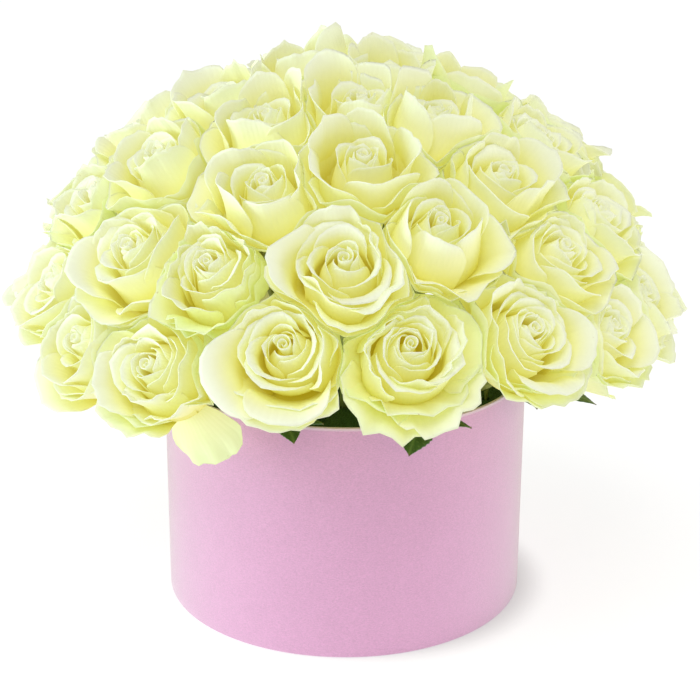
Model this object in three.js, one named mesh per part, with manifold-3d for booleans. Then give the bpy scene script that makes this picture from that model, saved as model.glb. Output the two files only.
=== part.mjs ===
// Hat box of cream roses: a round card box with a paper cover, a water-tight liner and a cylinder of floral
// foam that holds a dome of roses and a few sprays of rose leaves. Millimetres, +Z up. The origin is the
// centre of the box's underside, and the side with the largest roses faces -Y.
import * as THREE from "three";
import { mergeVertices } from "three/addons/utils/BufferGeometryUtils.js";
import Module from "manifold-3d";

const wasm = await Module();
wasm.setup();

// Box, liner and foam
const BOX_RADIUS = 100;
const BOX_HEIGHT = 130;
const BOARD = 3; // thickness of the card, wall and base alike
const RIM_ROUND = 1; // how far the folded paper rounds the rim
const SEAT_GAP = 0.3; // clearance between pieces that are fitted into each other
const LINER_WALL = 0.9;
const LINER_TOP = 126;
const FOAM_TOP = 124;
const ROUND_SIDES = 40;

// Dome of roses
const DOME_CENTRE = 157; // height of the widest level of the dome
const DOME_WIDE = 172; // half width of the dome at the roses' eyes
const DOME_BACK = 146; // half depth behind the box's axis, where the dome is flatter
const DOME_HIGH = 142;
const FAN_POINT = new THREE.Vector3(0, 0, 70); // the roses fan out from about here
const SIT_BACK = 38; // from a rose's eye down to the top of its stem
const HEAD_MIDDLE = 23; // from the top of the stem up to the middle of the head
const GOLDEN_ANGLE = 137.5; // turn from one rose's first petal to the next rose's, in degrees
const PRESSED_GAP = 0.4; // half the clearance between the petals of two roses
const PRESSED_ZONE = 3; // depth of the zone in which petals bend away from a neighbour

// Stems and the holes in the foam
const STEM_RADIUS = 2.5;
const STEM_IN_FOAM = 25;
const ENTRY_SPREAD = 1.3; // millimetres from the foam's centre for each degree that a rose leans out
const HOLE_SIDES = 5;

// Guard petals, the outermost whorl. Lengths run along the petal from its root.
const GUARD_PETALS = 5;
const PETAL_LENGTH = 52;
const PETAL_THICK = 1.5;
const PETAL_ROOT = new THREE.Vector2(2.5, 3); // radius, and height above the top of the stem
const PETAL_STEPS = 40; // steps in which a petal's curve is followed
const LIP_HEIGHT = 30; // of the petals' lips above the top of the stem
// A petal's lean from the rose's axis in degrees, on a closed and on an open rose
const ROOT_LEAN = [88, 89];
const BODY_LEAN = [-2, 32];
const LIP_LEAN = [5, 85]; // added towards the lip
const UPRIGHT_FROM = 0.45; // share of the length at which the body's lean is reached
const ROLL_FROM = 0.65; // share at which the lip starts to roll over
const ROLL_POWER = 1.5;
const WIDEST_OPEN = 1.2;
// Petals below the lowest roses have room to open wider and to droop
const FREE_LIFT = 50; // roses that lift less than this have room below them
const FREE_RANGE = 10;
const FREE_DROOP = 0.2;
const FREE_REACH = 0.2;
const DROOP_ROOT_LEAN = 30; // degrees added by a full droop
const DROOP_BODY_LEAN = 105;
// Rows of a guard petal: share of the length in the middle and at the edge, half the width in degrees, and
// how far the one edge lies out over the next petal and the other edge in under it
const GUARD_ROWS = [
  [0.4, 0.4, 27, 0.6],
  [0.74, 0.7, 43, 3],
  [1, 0.94, 38, 3.2],
];

// Heart of a rose: whorls of three petals each. A ring has its radius against the heart's and its height
// against the heart's height. A whorl's ring is raised into crests, and a plain ring is the valley between.
const HEART_HALF_WIDTH = 0.25; // against the rose's diameter
const HEART_SHARE = 0.52; // against the reach of the guard petals, at the most
const HEART_TALL = [42, 34]; // on a closed and on an open rose
const CLOSED_DIAMETER = 32;
const OPEN_DIAMETER = 90;
const HEART_RINGS = [
  { r: 0.7, z: 0.28 },
  { r: 1, z: 0.98, firstCrest: 0 },
  { r: 0.78, z: 0.7 },
  { r: 0.6, z: 1.02, firstCrest: 3 },
  { r: 0.4, z: 0.8 },
  { r: 0.26, z: 1.03, firstCrest: 7 },
];
const EYE_HEIGHT = 0.94;
const SIDES = 2 * GUARD_PETALS; // every second side carries a guard petal
const CREST_DIP = [-4.5, 0, -1.5, -4.5, 0, -1.5, -4.5, -0.5, 0, -1.5];
const CREST_STEP = [-1.2, 0.2, 1.2, -1.2, 0.2, 1.2, -1.2, 0, 0.4, 1.2];

// Roses of the front half: turn round the box from the front, lift of the axis, diameter with open petals
const FRONT_ROSES = [
  [-34, 33, 70],
  [-10, 38, 81],
  [11, 38, 72],
  [34, 38, 79],
  [-52, 33, 65],
  [-26, 47, 65],
  [0, 49, 81],
  [20, 53, 63],
  [47, 47, 72],
  [-46, 47, 74],
  [-20, 59, 70],
  [5, 64, 74],
  [43, 59, 74],
  [-33, 71, 72],
  [-58, 60, 72],
  [8, 76, 65],
  [38, 71, 63],
  [71, 62, 67],
  [-68, 38, 70],
  [-70, 51, 65],
  [66, 49, 65],
  [71, 36, 72],
  [50, 82, 63],
  [-90, 84, 65],
  [-68, 73, 67],
  [150, 80, 65],
  [84, 74, 67],
  [94, 60, 67],
  [53, 35, 65],
];
// Roses of the back half, in rows: how many, lift, turn of the first, turn of the last
const BACK_ROWS = [
  [9, 36, 91, 274],
  [7, 48, 99, 266],
  [5, 61, 125, 265],
  [1, 72, 200, 200],
];
const BACK_DIAMETER = [66, 78]; // smallest and largest
const BACK_UNEVEN = 1.5; // degrees by which they stand above or below their row
// Roses with one more guard petal, which hangs towards the box: rose's index, and the petal's swing from
// straight down
const HANGING_PETALS = [
  [0, 20],
  [21, 30],
  [34, 15],
];

// Leaf sprays: turn round the box, swing of the left, the end and the right leaflet, length of the end
// leaflet, and how far its tip hangs down
const LEAF_SPRAYS = [
  [20, -80, -34, 52, 31, 6],
  [61, -50, 8, 56, 34, 6],
  [-15, -16, 30, 84, 20, 3],
  [131, -62, 8, 60, 44, 6],
  [233, -60, -6, 66, 42, 7],
];
const STALK_RADIUS = 1.4;
const STALK_SIDES = 5;
const STALK_ENTRY = 86; // from the box's axis
const STALK_FOOT = 98;
const STALK_BEND = 128; // the stalk stands straight up to here, then arches over the rim
const STALK_ARCH = [88, 142]; // radius and height of the arch's control point
const STALK_TIP = [114, 136.5];
const LEAFLET_SPLIT = 0.82; // share of the stalk's arch at which the two side leaflets grow
const LEAFLET_END = 0.98; // and at which the end leaflet grows
const SIDE_LEAFLET = 0.92; // length of a side leaflet against the end leaflet's
const SIDE_FALL = 0.7; // fall of a side leaflet against the end leaflet's
const LEAFLET_WIDE = 0.3; // half width against the length
const LEAFLET_ARCH = 0.06; // fall of the blade for each millimetre away from the midrib
const LEAFLET_TEETH = 5; // on each side
const TOOTH_DEEP = 0.16; // against the half width
const MIDRIB = [[0.1, 0.9], [0.4, 0.7], [0.7, 0.5]]; // share of the length, half the thickness

const CARD_PINK = new THREE.MeshStandardMaterial({ color: "#dcaed2", roughness: 0.85, metalness: 0 });
const LINER_FILM = new THREE.MeshStandardMaterial({ color: "#d9dcd6", roughness: 0.3, metalness: 0 });
const FOAM_GREEN = new THREE.MeshStandardMaterial({ color: "#3f6a3c", roughness: 0.95, metalness: 0 });
const ROSE_CREAM = new THREE.MeshStandardMaterial({ color: "#f4f3c4", roughness: 0.6, metalness: 0 });
const LEAF_GREEN = new THREE.MeshStandardMaterial({ color: "#3d5a2e", roughness: 0.5, metalness: 0 });

const radians = THREE.MathUtils.degToRad;
const { lerp, clamp } = THREE.MathUtils;
const vector = (x, y, z) => new THREE.Vector3(x, y, z);
const ease = (x) => clamp(x, 0, 1) ** 2 * (3 - 2 * clamp(x, 0, 1));

// A steady variation from 0 to 1 for item i, different for each quality k
function vary(i, k) {
  const wave = Math.sin(i * 12.9898 + k * 78.233) * 43758.5453;
  return wave - Math.floor(wave);
}

// A solid from a closed three.js geometry
function solid(geometry) {
  const bare = geometry.clone();
  bare.deleteAttribute("normal");
  bare.deleteAttribute("uv");
  const merged = mergeVertices(bare, 1e-4);
  return new wasm.Manifold(
    new wasm.Mesh({
      numProp: 3,
      vertProperties: Float32Array.from(merged.attributes.position.array),
      triVerts: Uint32Array.from(merged.index.array),
    }),
  );
}

// A solid from points and triangles that close around it
function faceted(points, faces) {
  const geometry = new THREE.BufferGeometry();
  geometry.setAttribute("position", new THREE.Float32BufferAttribute(points.flatMap((p) => p.toArray()), 3));
  geometry.setIndex(faces.flat());
  return solid(geometry);
}

// A round piece from its profile of radius and height, turned about the box's axis
function turned(profile) {
  const outline = profile.map(([r, z]) => new THREE.Vector2(r, z));
  return solid(new THREE.LatheGeometry(outline, ROUND_SIDES).rotateX(Math.PI / 2));
}

// A straight rod with flat ends
function rod(from, to, radius, sides) {
  const along = to.clone().sub(from);
  const geometry = new THREE.CylinderGeometry(radius, radius, along.length(), sides);
  const turn = new THREE.Quaternion().setFromUnitVectors(vector(0, 1, 0), along.clone().normalize());
  const middle = from.clone().add(to).multiplyScalar(0.5);
  return solid(geometry.applyQuaternion(turn).translate(middle.x, middle.y, middle.z));
}

function namedMesh(name, material, shape) {
  const { numProp, vertProperties, triVerts } = shape.getMesh();
  if (numProp !== 3) throw new Error(name + " holds more than positions");
  const geometry = new THREE.BufferGeometry();
  geometry.setAttribute("position", new THREE.BufferAttribute(vertProperties, 3));
  geometry.setIndex(new THREE.BufferAttribute(triVerts, 1));
  geometry.computeVertexNormals();
  const mesh = new THREE.Mesh(geometry, material);
  mesh.name = name;
  return mesh;
}

// Where a ray from the fan point leaves the dome
function onDome(direction) {
  const half = vector(DOME_WIDE, direction.y > 0 ? DOME_BACK : DOME_WIDE, DOME_HIGH);
  const start = FAN_POINT.clone().sub(vector(0, 0, DOME_CENTRE)).divide(half);
  const step = direction.clone().divide(half);
  const a = step.dot(step);
  const b = start.dot(step);
  const distance = (-b + Math.sqrt(b * b - a * (start.dot(start) - 1))) / a;
  return FAN_POINT.clone().addScaledVector(direction, distance);
}

// A rose's place and size, with its axis, and the directions to its right and up across the axis
function rosePlace([turn, lift, diameter], index) {
  const t = radians(turn);
  const l = radians(lift);
  const axis = vector(Math.sin(t) * Math.cos(l), -Math.cos(t) * Math.cos(l), Math.sin(l));
  const neck = onDome(axis).addScaledVector(axis, -SIT_BACK);
  const right = vector(Math.cos(t), Math.sin(t), 0);
  const up = axis.clone().cross(right);
  const open = clamp((diameter - CLOSED_DIAMETER) / (OPEN_DIAMETER - CLOSED_DIAMETER), 0, 1);
  const tall = lerp(...HEART_TALL, open);
  const middle = neck.clone().addScaledVector(axis, HEAD_MIDDLE);
  const spin = radians(GOLDEN_ANGLE * index);
  return { index, turn, lift, diameter, tall, axis, neck, right, up, middle, spin };
}

function backRoses() {
  const found = [];
  for (const [count, lift, first, last] of BACK_ROWS)
    for (let i = 0; i < count; i++) {
      const share = count > 1 ? i / (count - 1) : 0;
      const size = lerp(...BACK_DIAMETER, vary(found.length, 1));
      const uneven = BACK_UNEVEN * (2 * vary(found.length, 2) - 1);
      found.push([lerp(first, last, share), lift + uneven, Math.round(size)]);
    }
  return found;
}

const ROSES = [...FRONT_ROSES, ...backRoses()].map(rosePlace);

// The direction to a neighbour, how far away it is, and the distance of the plane between the two roses
function towards(rose, other) {
  const across = other.middle.clone().sub(rose.middle);
  const apart = across.length();
  const plane = (apart * rose.diameter) / (rose.diameter + other.diameter);
  return { across: across.divideScalar(apart), apart, plane };
}

// Bends a point of one rose clear of the planes between it and its neighbours
function pressed(point, rose) {
  for (const other of ROSES) {
    if (other === rose) continue;
    const { across, apart, plane } = towards(rose, other);
    if (apart > rose.diameter + other.diameter) continue;
    const past = point.clone().sub(rose.middle).dot(across) - plane;
    if (past <= -PRESSED_ZONE) continue;
    const room = PRESSED_ZONE - PRESSED_GAP;
    const held = -PRESSED_GAP - room * Math.exp(-(past + PRESSED_ZONE) / room);
    point.addScaledVector(across, held - past);
  }
  return point;
}

// The direction across a rose's axis at an angle round it
function aside(rose, angle) {
  const a = angle + rose.spin;
  return rose.right.clone().multiplyScalar(Math.cos(a)).addScaledVector(rose.up, Math.sin(a));
}

// From a rose's own round coordinates to the part's frame
function inFrame(rose, angle, radius, height) {
  const point = rose.neck.clone().addScaledVector(rose.axis, height);
  return pressed(point.addScaledVector(aside(rose, angle), radius), rose);
}

// 1 where an angle round the rose points down on a rose with nothing below it, 0 where it doesn't
function freeBelow(rose, angle) {
  const free = clamp((FREE_LIFT - rose.lift) / FREE_RANGE, 0, 1);
  return free * Math.max(0, -Math.sin(angle + rose.spin));
}

// How far a rose's petals may reach at an angle before they meet the plane between it and a neighbour
function reach(rose, angle) {
  const direction = aside(rose, angle);
  const lip = rose.axis.clone().multiplyScalar(LIP_HEIGHT - HEAD_MIDDLE);
  let radius = (rose.diameter / 2) * (1 + FREE_REACH * freeBelow(rose, angle));
  for (const other of ROSES) {
    if (other === rose) continue;
    const { across, plane } = towards(rose, other);
    const approach = direction.dot(across);
    if (approach > 0.05) radius = Math.min(radius, (plane - PRESSED_GAP - lip.dot(across)) / approach);
  }
  return radius;
}

// A guard petal's lean from the rose's axis at a share of its length: out at the root, up, then over at the
// lip
function guardLean(share, open, droop) {
  const root = lerp(...ROOT_LEAN, open) + DROOP_ROOT_LEAN * droop;
  const body = lerp(...BODY_LEAN, open) + DROOP_BODY_LEAN * droop;
  const lip = lerp(...LIP_LEAN, open) * (1 - droop);
  const roll = Math.max(0, (share - ROLL_FROM) / (1 - ROLL_FROM)) ** ROLL_POWER;
  return radians(lerp(root, body, ease(share / UPRIGHT_FROM)) + lip * roll);
}

// The point and the outward direction of a guard petal's middle line, as radius and height
function guardLine(share, open, droop) {
  const at = PETAL_ROOT.clone();
  const step = (PETAL_LENGTH * share) / PETAL_STEPS;
  for (let i = 0; i < PETAL_STEPS; i++) {
    const lean = guardLean(((i + 0.5) / PETAL_STEPS) * share, open, droop);
    at.x += Math.sin(lean) * step;
    at.y += Math.cos(lean) * step;
  }
  const lean = guardLean(share, open, droop);
  return { at, out: new THREE.Vector2(Math.cos(lean), -Math.sin(lean)) };
}

// How far open the guard petals are at an angle, so that their lips end where they may reach
function openness(rose, angle) {
  const target = reach(rose, angle);
  const droop = FREE_DROOP * freeBelow(rose, angle);
  let low = 0;
  let high = WIDEST_OPEN;
  for (let i = 0; i < 12; i++) {
    const middle = (low + high) / 2;
    if (guardLine(1, middle, droop).at.x < target) low = middle;
    else high = middle;
  }
  return { open: low, droop };
}

// Adds a guard petal to a body of points and faces: an outer and an inner sheet that meet along the petal's
// edge. The sheets start from the root's four corners: low left, low right, high right and high left.
function addGuardPetal(rose, points, faces, angle, hang, root) {
  const add = (share, side, halfWidth, shift) => {
    const turn = angle + side * radians(halfWidth);
    const { open, droop } = openness(rose, turn);
    const { at, out } = guardLine(share, open, droop + hang);
    at.addScaledVector(out, shift);
    return points.push(inFrame(rose, turn, at.x, at.y)) - 1;
  };
  const put = (a, b, c) => a !== b && b !== c && a !== c && faces.push([a, b, c]);
  const rows = GUARD_ROWS.map(([middle, edge, halfWidth, overlap], j) => {
    const outer = add(middle, 0, 0, 0);
    const inner = j === GUARD_ROWS.length - 1 ? outer : add(middle, 0, 0, -PETAL_THICK);
    const left = add(edge, -1, halfWidth, -overlap);
    const right = add(edge, 1, halfWidth, overlap);
    return { left, right, outer, inner };
  });
  const [lowLeft, lowRight, highRight, highLeft] = root;
  const { left, right, outer, inner } = rows[0];
  put(lowLeft, lowRight, outer);
  put(lowLeft, outer, left);
  put(lowRight, right, outer);
  put(lowRight, highRight, right);
  put(highRight, highLeft, inner);
  put(highRight, inner, right);
  put(highLeft, left, inner);
  put(highLeft, lowLeft, left);
  for (let j = 1; j < rows.length; j++) {
    const low = rows[j - 1];
    const high = rows[j];
    put(low.left, low.outer, high.left);
    put(high.left, low.outer, high.outer);
    put(low.outer, high.right, high.outer);
    put(low.outer, low.right, high.right);
    put(low.left, high.left, low.inner);
    put(high.left, high.inner, low.inner);
    put(low.inner, high.inner, high.right);
    put(low.inner, high.right, low.right);
  }
}

// A guard petal that droops fully, rooted inside the heart
function hangingPetal(rose, swing) {
  const points = [inFrame(rose, 0, 0, PETAL_ROOT.y)];
  const faces = [];
  addGuardPetal(rose, points, faces, radians(swing - 90) - rose.spin, 1, [0, 0, 0, 0]);
  return faceted(points, faces);
}

// A stem runs straight from the rose into the foam
function stemLine(rose) {
  const radius = ENTRY_SPREAD * (90 - rose.lift);
  const entry = onBox(rose.turn, [radius, FOAM_TOP]);
  const down = entry.clone().sub(rose.neck).normalize();
  return { entry, down, end: entry.clone().addScaledVector(down, STEM_IN_FOAM) };
}

// Its hole is a rod with few sides, a little wider and deeper than the stem
function stemHole(rose) {
  const { entry, down, end } = stemLine(rose);
  const above = entry.clone().addScaledVector(down, -2 * STEM_RADIUS);
  const below = end.clone().addScaledVector(down, SEAT_GAP);
  return rod(above, below, (STEM_RADIUS + SEAT_GAP) / Math.cos(Math.PI / HOLE_SIDES), HOLE_SIDES);
}

const turnOf = (side) => ((side - 0.5) / SIDES) * 2 * Math.PI;
const around = (make) => Array.from({ length: SIDES }, (_, i) => make(turnOf(i), i));

function heartRing(rose, { r, z, firstCrest }) {
  return around((turn, i) => {
    const place = (i + firstCrest) % SIDES;
    const step = firstCrest === undefined ? 0 : CREST_STEP[place] * r;
    const dip = firstCrest === undefined ? 0 : CREST_DIP[place] * r;
    const heart = Math.min(HEART_HALF_WIDTH * rose.diameter, HEART_SHARE * reach(rose, turn));
    return inFrame(rose, turn, heart * r + step, rose.tall * z + dip);
  });
}

function stemRing(rose, centre, down) {
  return around((turn) => {
    const direction = aside(rose, turn).projectOnPlane(down).normalize();
    return centre.clone().addScaledVector(direction, STEM_RADIUS);
  });
}

// Stem, heart and guard petals are one body: rings of points from the stem's cut end up to the eye, with the
// guard petals grown from every second side of the ring just above the stem
function roseSolid(rose) {
  const { end, down } = stemLine(rose);
  const stem = [stemRing(rose, end, down), stemRing(rose, rose.neck, down)];
  const rings = [...stem, ...HEART_RINGS.map((ring) => heartRing(rose, ring))];
  const points = rings.flat();
  const faces = [];
  const atRing = (ring, i) => ring * SIDES + (i % SIDES);
  for (let i = 2; i < SIDES; i++) faces.push([0, i, i - 1]);
  for (let k = 0; k < rings.length - 1; k++)
    for (let i = 0; i < SIDES; i++) {
      const [a, b, c, d] = [atRing(k, i), atRing(k, i + 1), atRing(k + 1, i + 1), atRing(k + 1, i)];
      const carriesPetal = k === stem.length - 1 && i % 2 === 0;
      if (carriesPetal) addGuardPetal(rose, points, faces, (i / SIDES) * 2 * Math.PI, 0, [a, b, c, d]);
      else faces.push([a, b, d], [b, c, d]);
    }
  const top = rings.length - 1;
  const eye = points.push(inFrame(rose, 0, 0, rose.tall * EYE_HEIGHT)) - 1;
  for (let i = 0; i < SIDES; i++) faces.push([atRing(top, i), atRing(top, i + 1), eye]);
  const hanging = HANGING_PETALS.find(([index]) => index === rose.index);
  const body = faceted(points, faces);
  return hanging ? body.add(hangingPetal(rose, hanging[1])) : body;
}

// One face of a half blade: triangles between the chain of its midrib and the chain of its toothed edge
function bladeFace(rib, edge, flip) {
  const faces = [];
  const put = (a, b, c) => {
    if (a !== b && b !== c && a !== c) faces.push(flip ? [a, c, b] : [a, b, c]);
  };
  let e = 0;
  let r = 0;
  while (e < edge.length - 1 || r < rib.length - 1) {
    const alongEdge = r === rib.length - 1 || (e < edge.length - 1 && edge[e + 1].share <= rib[r + 1].share);
    if (alongEdge) put(rib[r].id, edge[e].id, edge[++e].id);
    else put(rib[r].id, edge[e].id, rib[++r].id);
  }
  return faces;
}

// A leaflet: a toothed blade that is thickest along its midrib and hangs lower towards its tip
function leaflet(base, heading, length, fall) {
  const across = vector(-heading.y, heading.x, 0);
  const points = [];
  const add = (share, out, lift) => {
    const height = lift - fall * share ** 2 - LEAFLET_ARCH * Math.abs(out);
    const point = base.clone().addScaledVector(heading, share * length).addScaledVector(across, out);
    return { share, id: points.push(point.add(vector(0, 0, height))) - 1 };
  };
  const root = add(0, 0, 0);
  const tip = add(1, 0, 0);
  const top = [root, ...MIDRIB.map(([share, thick]) => add(share, 0, thick)), tip];
  const bottom = [root, ...MIDRIB.map(([share, thick]) => add(share, 0, -thick)), tip];
  const faces = [];
  for (const side of [1, -1]) {
    const edge = [root];
    for (let i = 1; i < 2 * LEAFLET_TEETH; i++) {
      const share = i / (2 * LEAFLET_TEETH);
      const cut = i % 2 === 0 ? 1 - TOOTH_DEEP : 1;
      edge.push(add(share, side * LEAFLET_WIDE * length * Math.sin(Math.PI * share ** 0.8) * cut, 0));
    }
    edge.push(tip);
    faces.push(...bladeFace(top, edge, side > 0), ...bladeFace(bottom, edge, side < 0));
  }
  return faceted(points, faces);
}

// The level direction out from the box's axis, and a point of that radius and height
function outward(turn) {
  return vector(Math.sin(radians(turn)), -Math.cos(radians(turn)), 0);
}

function onBox(turn, [radius, height]) {
  return outward(turn).multiplyScalar(radius).setZ(height);
}

// A stalk that stands straight in the foam, arches over the rim and carries three leaflets
function leafSpray([turn, left, end, right, length, fall]) {
  const bend = onBox(turn, [STALK_ENTRY, STALK_BEND]);
  const arch = new THREE.QuadraticBezierCurve3(bend, onBox(turn, STALK_ARCH), onBox(turn, STALK_TIP));
  const path = new THREE.CurvePath();
  path.add(new THREE.LineCurve3(onBox(turn, [STALK_ENTRY, STALK_FOOT]), bend));
  path.add(arch);
  const corners = Array.from({ length: STALK_SIDES }, (_, i) => {
    const angle = (i / STALK_SIDES) * 2 * Math.PI;
    return new THREE.Vector2(STALK_RADIUS * Math.cos(angle), STALK_RADIUS * Math.sin(angle));
  });
  const swept = { steps: 6, bevelEnabled: false, extrudePath: path };
  const split = arch.getPoint(LEAFLET_SPLIT);
  return wasm.Manifold.union([
    solid(new THREE.ExtrudeGeometry(new THREE.Shape(corners), swept)),
    leaflet(arch.getPoint(LEAFLET_END), outward(turn + end), length, fall),
    leaflet(split, outward(turn + left), SIDE_LEAFLET * length, SIDE_FALL * fall),
    leaflet(split, outward(turn + right), SIDE_LEAFLET * length, SIDE_FALL * fall),
  ]);
}

function stalkHole([turn]) {
  const radius = (STALK_RADIUS + 2 * SEAT_GAP) / Math.cos(Math.PI / HOLE_SIDES);
  const foot = onBox(turn, [STALK_ENTRY, STALK_FOOT - SEAT_GAP]);
  return rod(foot, onBox(turn, [STALK_ENTRY, STALK_BEND]), radius, HOLE_SIDES);
}

// The wall of the box, with a rounded rim
function boxWall() {
  const inner = BOX_RADIUS - BOARD;
  return turned([
    [inner, 0],
    [BOX_RADIUS, 0],
    [BOX_RADIUS, BOX_HEIGHT - RIM_ROUND],
    [BOX_RADIUS - BOARD / 2, BOX_HEIGHT],
    [inner, BOX_HEIGHT - RIM_ROUND],
    [inner, 0],
  ]);
}

// A full cylinder of a radius between two heights
function disc(radius, low, high) {
  return turned([[0, low], [radius, low], [radius, high], [0, high]]);
}

const LINER_RADIUS = BOX_RADIUS - BOARD - SEAT_GAP;
const LINER_FOOT = BOARD + SEAT_GAP;
const FOAM_RADIUS = LINER_RADIUS - LINER_WALL - SEAT_GAP;
const FOAM_FOOT = LINER_FOOT + LINER_WALL + SEAT_GAP;

function linerCup() {
  return turned([
    [0, LINER_FOOT],
    [LINER_RADIUS, LINER_FOOT],
    [LINER_RADIUS, LINER_TOP],
    [LINER_RADIUS - LINER_WALL, LINER_TOP],
    [LINER_RADIUS - LINER_WALL, LINER_FOOT + LINER_WALL],
    [0, LINER_FOOT + LINER_WALL],
  ]);
}

function foamWithHoles() {
  const holes = [...ROSES.map(stemHole), ...LEAF_SPRAYS.map(stalkHole)];
  return disc(FOAM_RADIUS, FOAM_FOOT, FOAM_TOP).subtract(wasm.Manifold.union(holes));
}

const group = new THREE.Group();
group.add(namedMesh("hat_box_wall", CARD_PINK, boxWall()));
group.add(namedMesh("hat_box_base", CARD_PINK, disc(BOX_RADIUS - BOARD - SEAT_GAP, 0, BOARD)));
group.add(namedMesh("water_liner", LINER_FILM, linerCup()));
group.add(namedMesh("floral_foam", FOAM_GREEN, foamWithHoles()));
ROSES.forEach((rose, i) => {
  group.add(namedMesh("rose_" + String(i + 1).padStart(2, "0"), ROSE_CREAM, roseSolid(rose)));
});
LEAF_SPRAYS.forEach((spray, i) => {
  group.add(namedMesh("leaf_spray_" + (i + 1), LEAF_GREEN, leafSpray(spray)));
});

export default group;
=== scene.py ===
import math
from dataclasses import dataclass, fields, replace

import bpy
import numpy as np
from bpy.props import FloatProperty, FloatVectorProperty, PointerProperty
from mathutils import Matrix, Vector


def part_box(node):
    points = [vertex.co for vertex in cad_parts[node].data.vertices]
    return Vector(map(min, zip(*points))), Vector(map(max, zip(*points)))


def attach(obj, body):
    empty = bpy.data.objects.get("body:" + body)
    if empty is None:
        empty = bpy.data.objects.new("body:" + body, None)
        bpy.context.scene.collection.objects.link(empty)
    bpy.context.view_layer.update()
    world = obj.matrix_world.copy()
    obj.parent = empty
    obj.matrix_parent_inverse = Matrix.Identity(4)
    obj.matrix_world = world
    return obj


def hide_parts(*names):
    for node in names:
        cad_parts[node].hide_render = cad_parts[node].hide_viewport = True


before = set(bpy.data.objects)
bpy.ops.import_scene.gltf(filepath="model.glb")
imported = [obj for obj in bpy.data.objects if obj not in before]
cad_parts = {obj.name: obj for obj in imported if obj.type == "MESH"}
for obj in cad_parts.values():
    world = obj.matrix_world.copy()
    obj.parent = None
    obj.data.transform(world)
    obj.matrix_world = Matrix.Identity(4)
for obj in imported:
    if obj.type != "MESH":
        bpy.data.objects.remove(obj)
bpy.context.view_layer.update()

bl_info = {
    "name": "Flower Hat Box",
    "version": (1, 0, 0),
    "blender": (4, 5, 0),
    "location": "View3D > Sidebar > Flower Box",
    "description": "Makes a round paper-covered box filled with a dome of cream roses",
    "category": "Add Mesh",
}

MM = 0.001
BODY = "root"
WALL_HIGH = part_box("hat_box_wall")[1]
LINER_LOW, LINER_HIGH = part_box("water_liner")
FOAM_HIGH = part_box("floral_foam")[1]

# The dome that the roses' eyes lie on: the height of its middle, its half widths and its rise. The axes of
# the roses fan out from one point
DOME_CENTRE = 157 * MM
DOME_WIDE = 172 * MM
DOME_BACK = 146 * MM
DOME_HIGH = 142 * MM
FAN_POINT = np.array([0, 0, 70 * MM])
# Heights on a rose: from its neck to the dome, to the middle of its head, and about where its rims are
SIT_BACK = 38 * MM
HEAD_MIDDLE = 23 * MM
LIP_HEIGHT = 30 * MM
GOLDEN_ANGLE = 137.5  # turn of the petals from each rose to the next
# What comes this near to the surface between two roses is bent back, and stays so far from it
PRESSED_ZONE = 3 * MM
PRESSED_GAP = 0.2 * MM
STEM_RADIUS = 2.4 * MM
STEM_IN_FOAM = 25 * MM
ENTRY_SPREAD = 1.3 * MM  # how far from the foam's middle a stem goes in, for each degree that it leans
# The heart's height on a closed and on an open rose, and the diameters of such roses
HEART_TALL = (42 * MM, 34 * MM)
CLOSED_DIAMETER = 32 * MM
OPEN_DIAMETER = 90 * MM
# Roses with less lift than this, in degrees, have no neighbour below them
FREE_LIFT = 50
FREE_RANGE = 10
FREE_EDGE = 0.4
# Roses near the dome's top stand more closed, and have longer petals on the side towards the top
CLOSED_PINCH = 0.12
CLOSED_LIFTS = (56, 76)
LONGER_CLOSED = 0.1
USUAL_CREST = 0.15
CREST_LIFTS = (48, 72)
# Petals grow into the corner between three roses, less so where their room reaches so many radii far
CORNER_FAR = (2.1, 2.7)
EVENING = 7.0
FAR_OUT = 4
LEAST_APPROACH = 0.05

# Where two roses meet, the rims of the one lie over the other's, whose lower petals lie further out below
OVERLAP = 5 * MM
OVERLAP_MIDDLE = -3 * MM
OVERLAP_BEND = 6 * MM
CONTACT_WAVE = 1.3 * MM
CONTACT_WAVE_LENGTH = 27 * MM
CONTACT_AT = 0.9  # share of the radius at which the surface between two roses is read
LEVEL_APART = 9 * MM

# Roses of the front half: turn round the box from the front, lift of the axis, diameter in millimetres
FRONT_ROSES = [
    (-34, 33, 70),
    (-10, 38, 81),
    (11, 38, 72),
    (34, 38, 79),
    (-52, 33, 65),
    (-26, 47, 65),
    (0, 49, 81),
    (20, 53, 63),
    (47, 47, 72),
    (-46, 47, 74),
    (-20, 59, 70),
    (5, 64, 74),
    (43, 59, 74),
    (-33, 71, 72),
    (-58, 60, 72),
    (8, 76, 65),
    (38, 71, 63),
    (71, 62, 67),
    (-68, 38, 70),
    (-70, 51, 65),
    (66, 49, 65),
    (71, 36, 72),
    (50, 82, 63),
    (-90, 84, 65),
    (-68, 73, 67),
    (150, 80, 65),
    (84, 74, 67),
    (94, 60, 67),
    (53, 35, 65),
]
# Roses of the back half, in rows: how many, lift, turn of the first, turn of the last
BACK_ROWS = [(9, 36, 91, 274), (7, 48, 99, 266), (5, 61, 125, 265), (1, 72, 200, 200)]
BACK_DIAMETER = (66, 78)
BACK_UNEVEN = 1.5
# Roses with a petal that hangs towards the box: its index, and the petal's swing from straight down
HANGING_PETALS = {0: 20, 21: 30, 34: 15}
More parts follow.
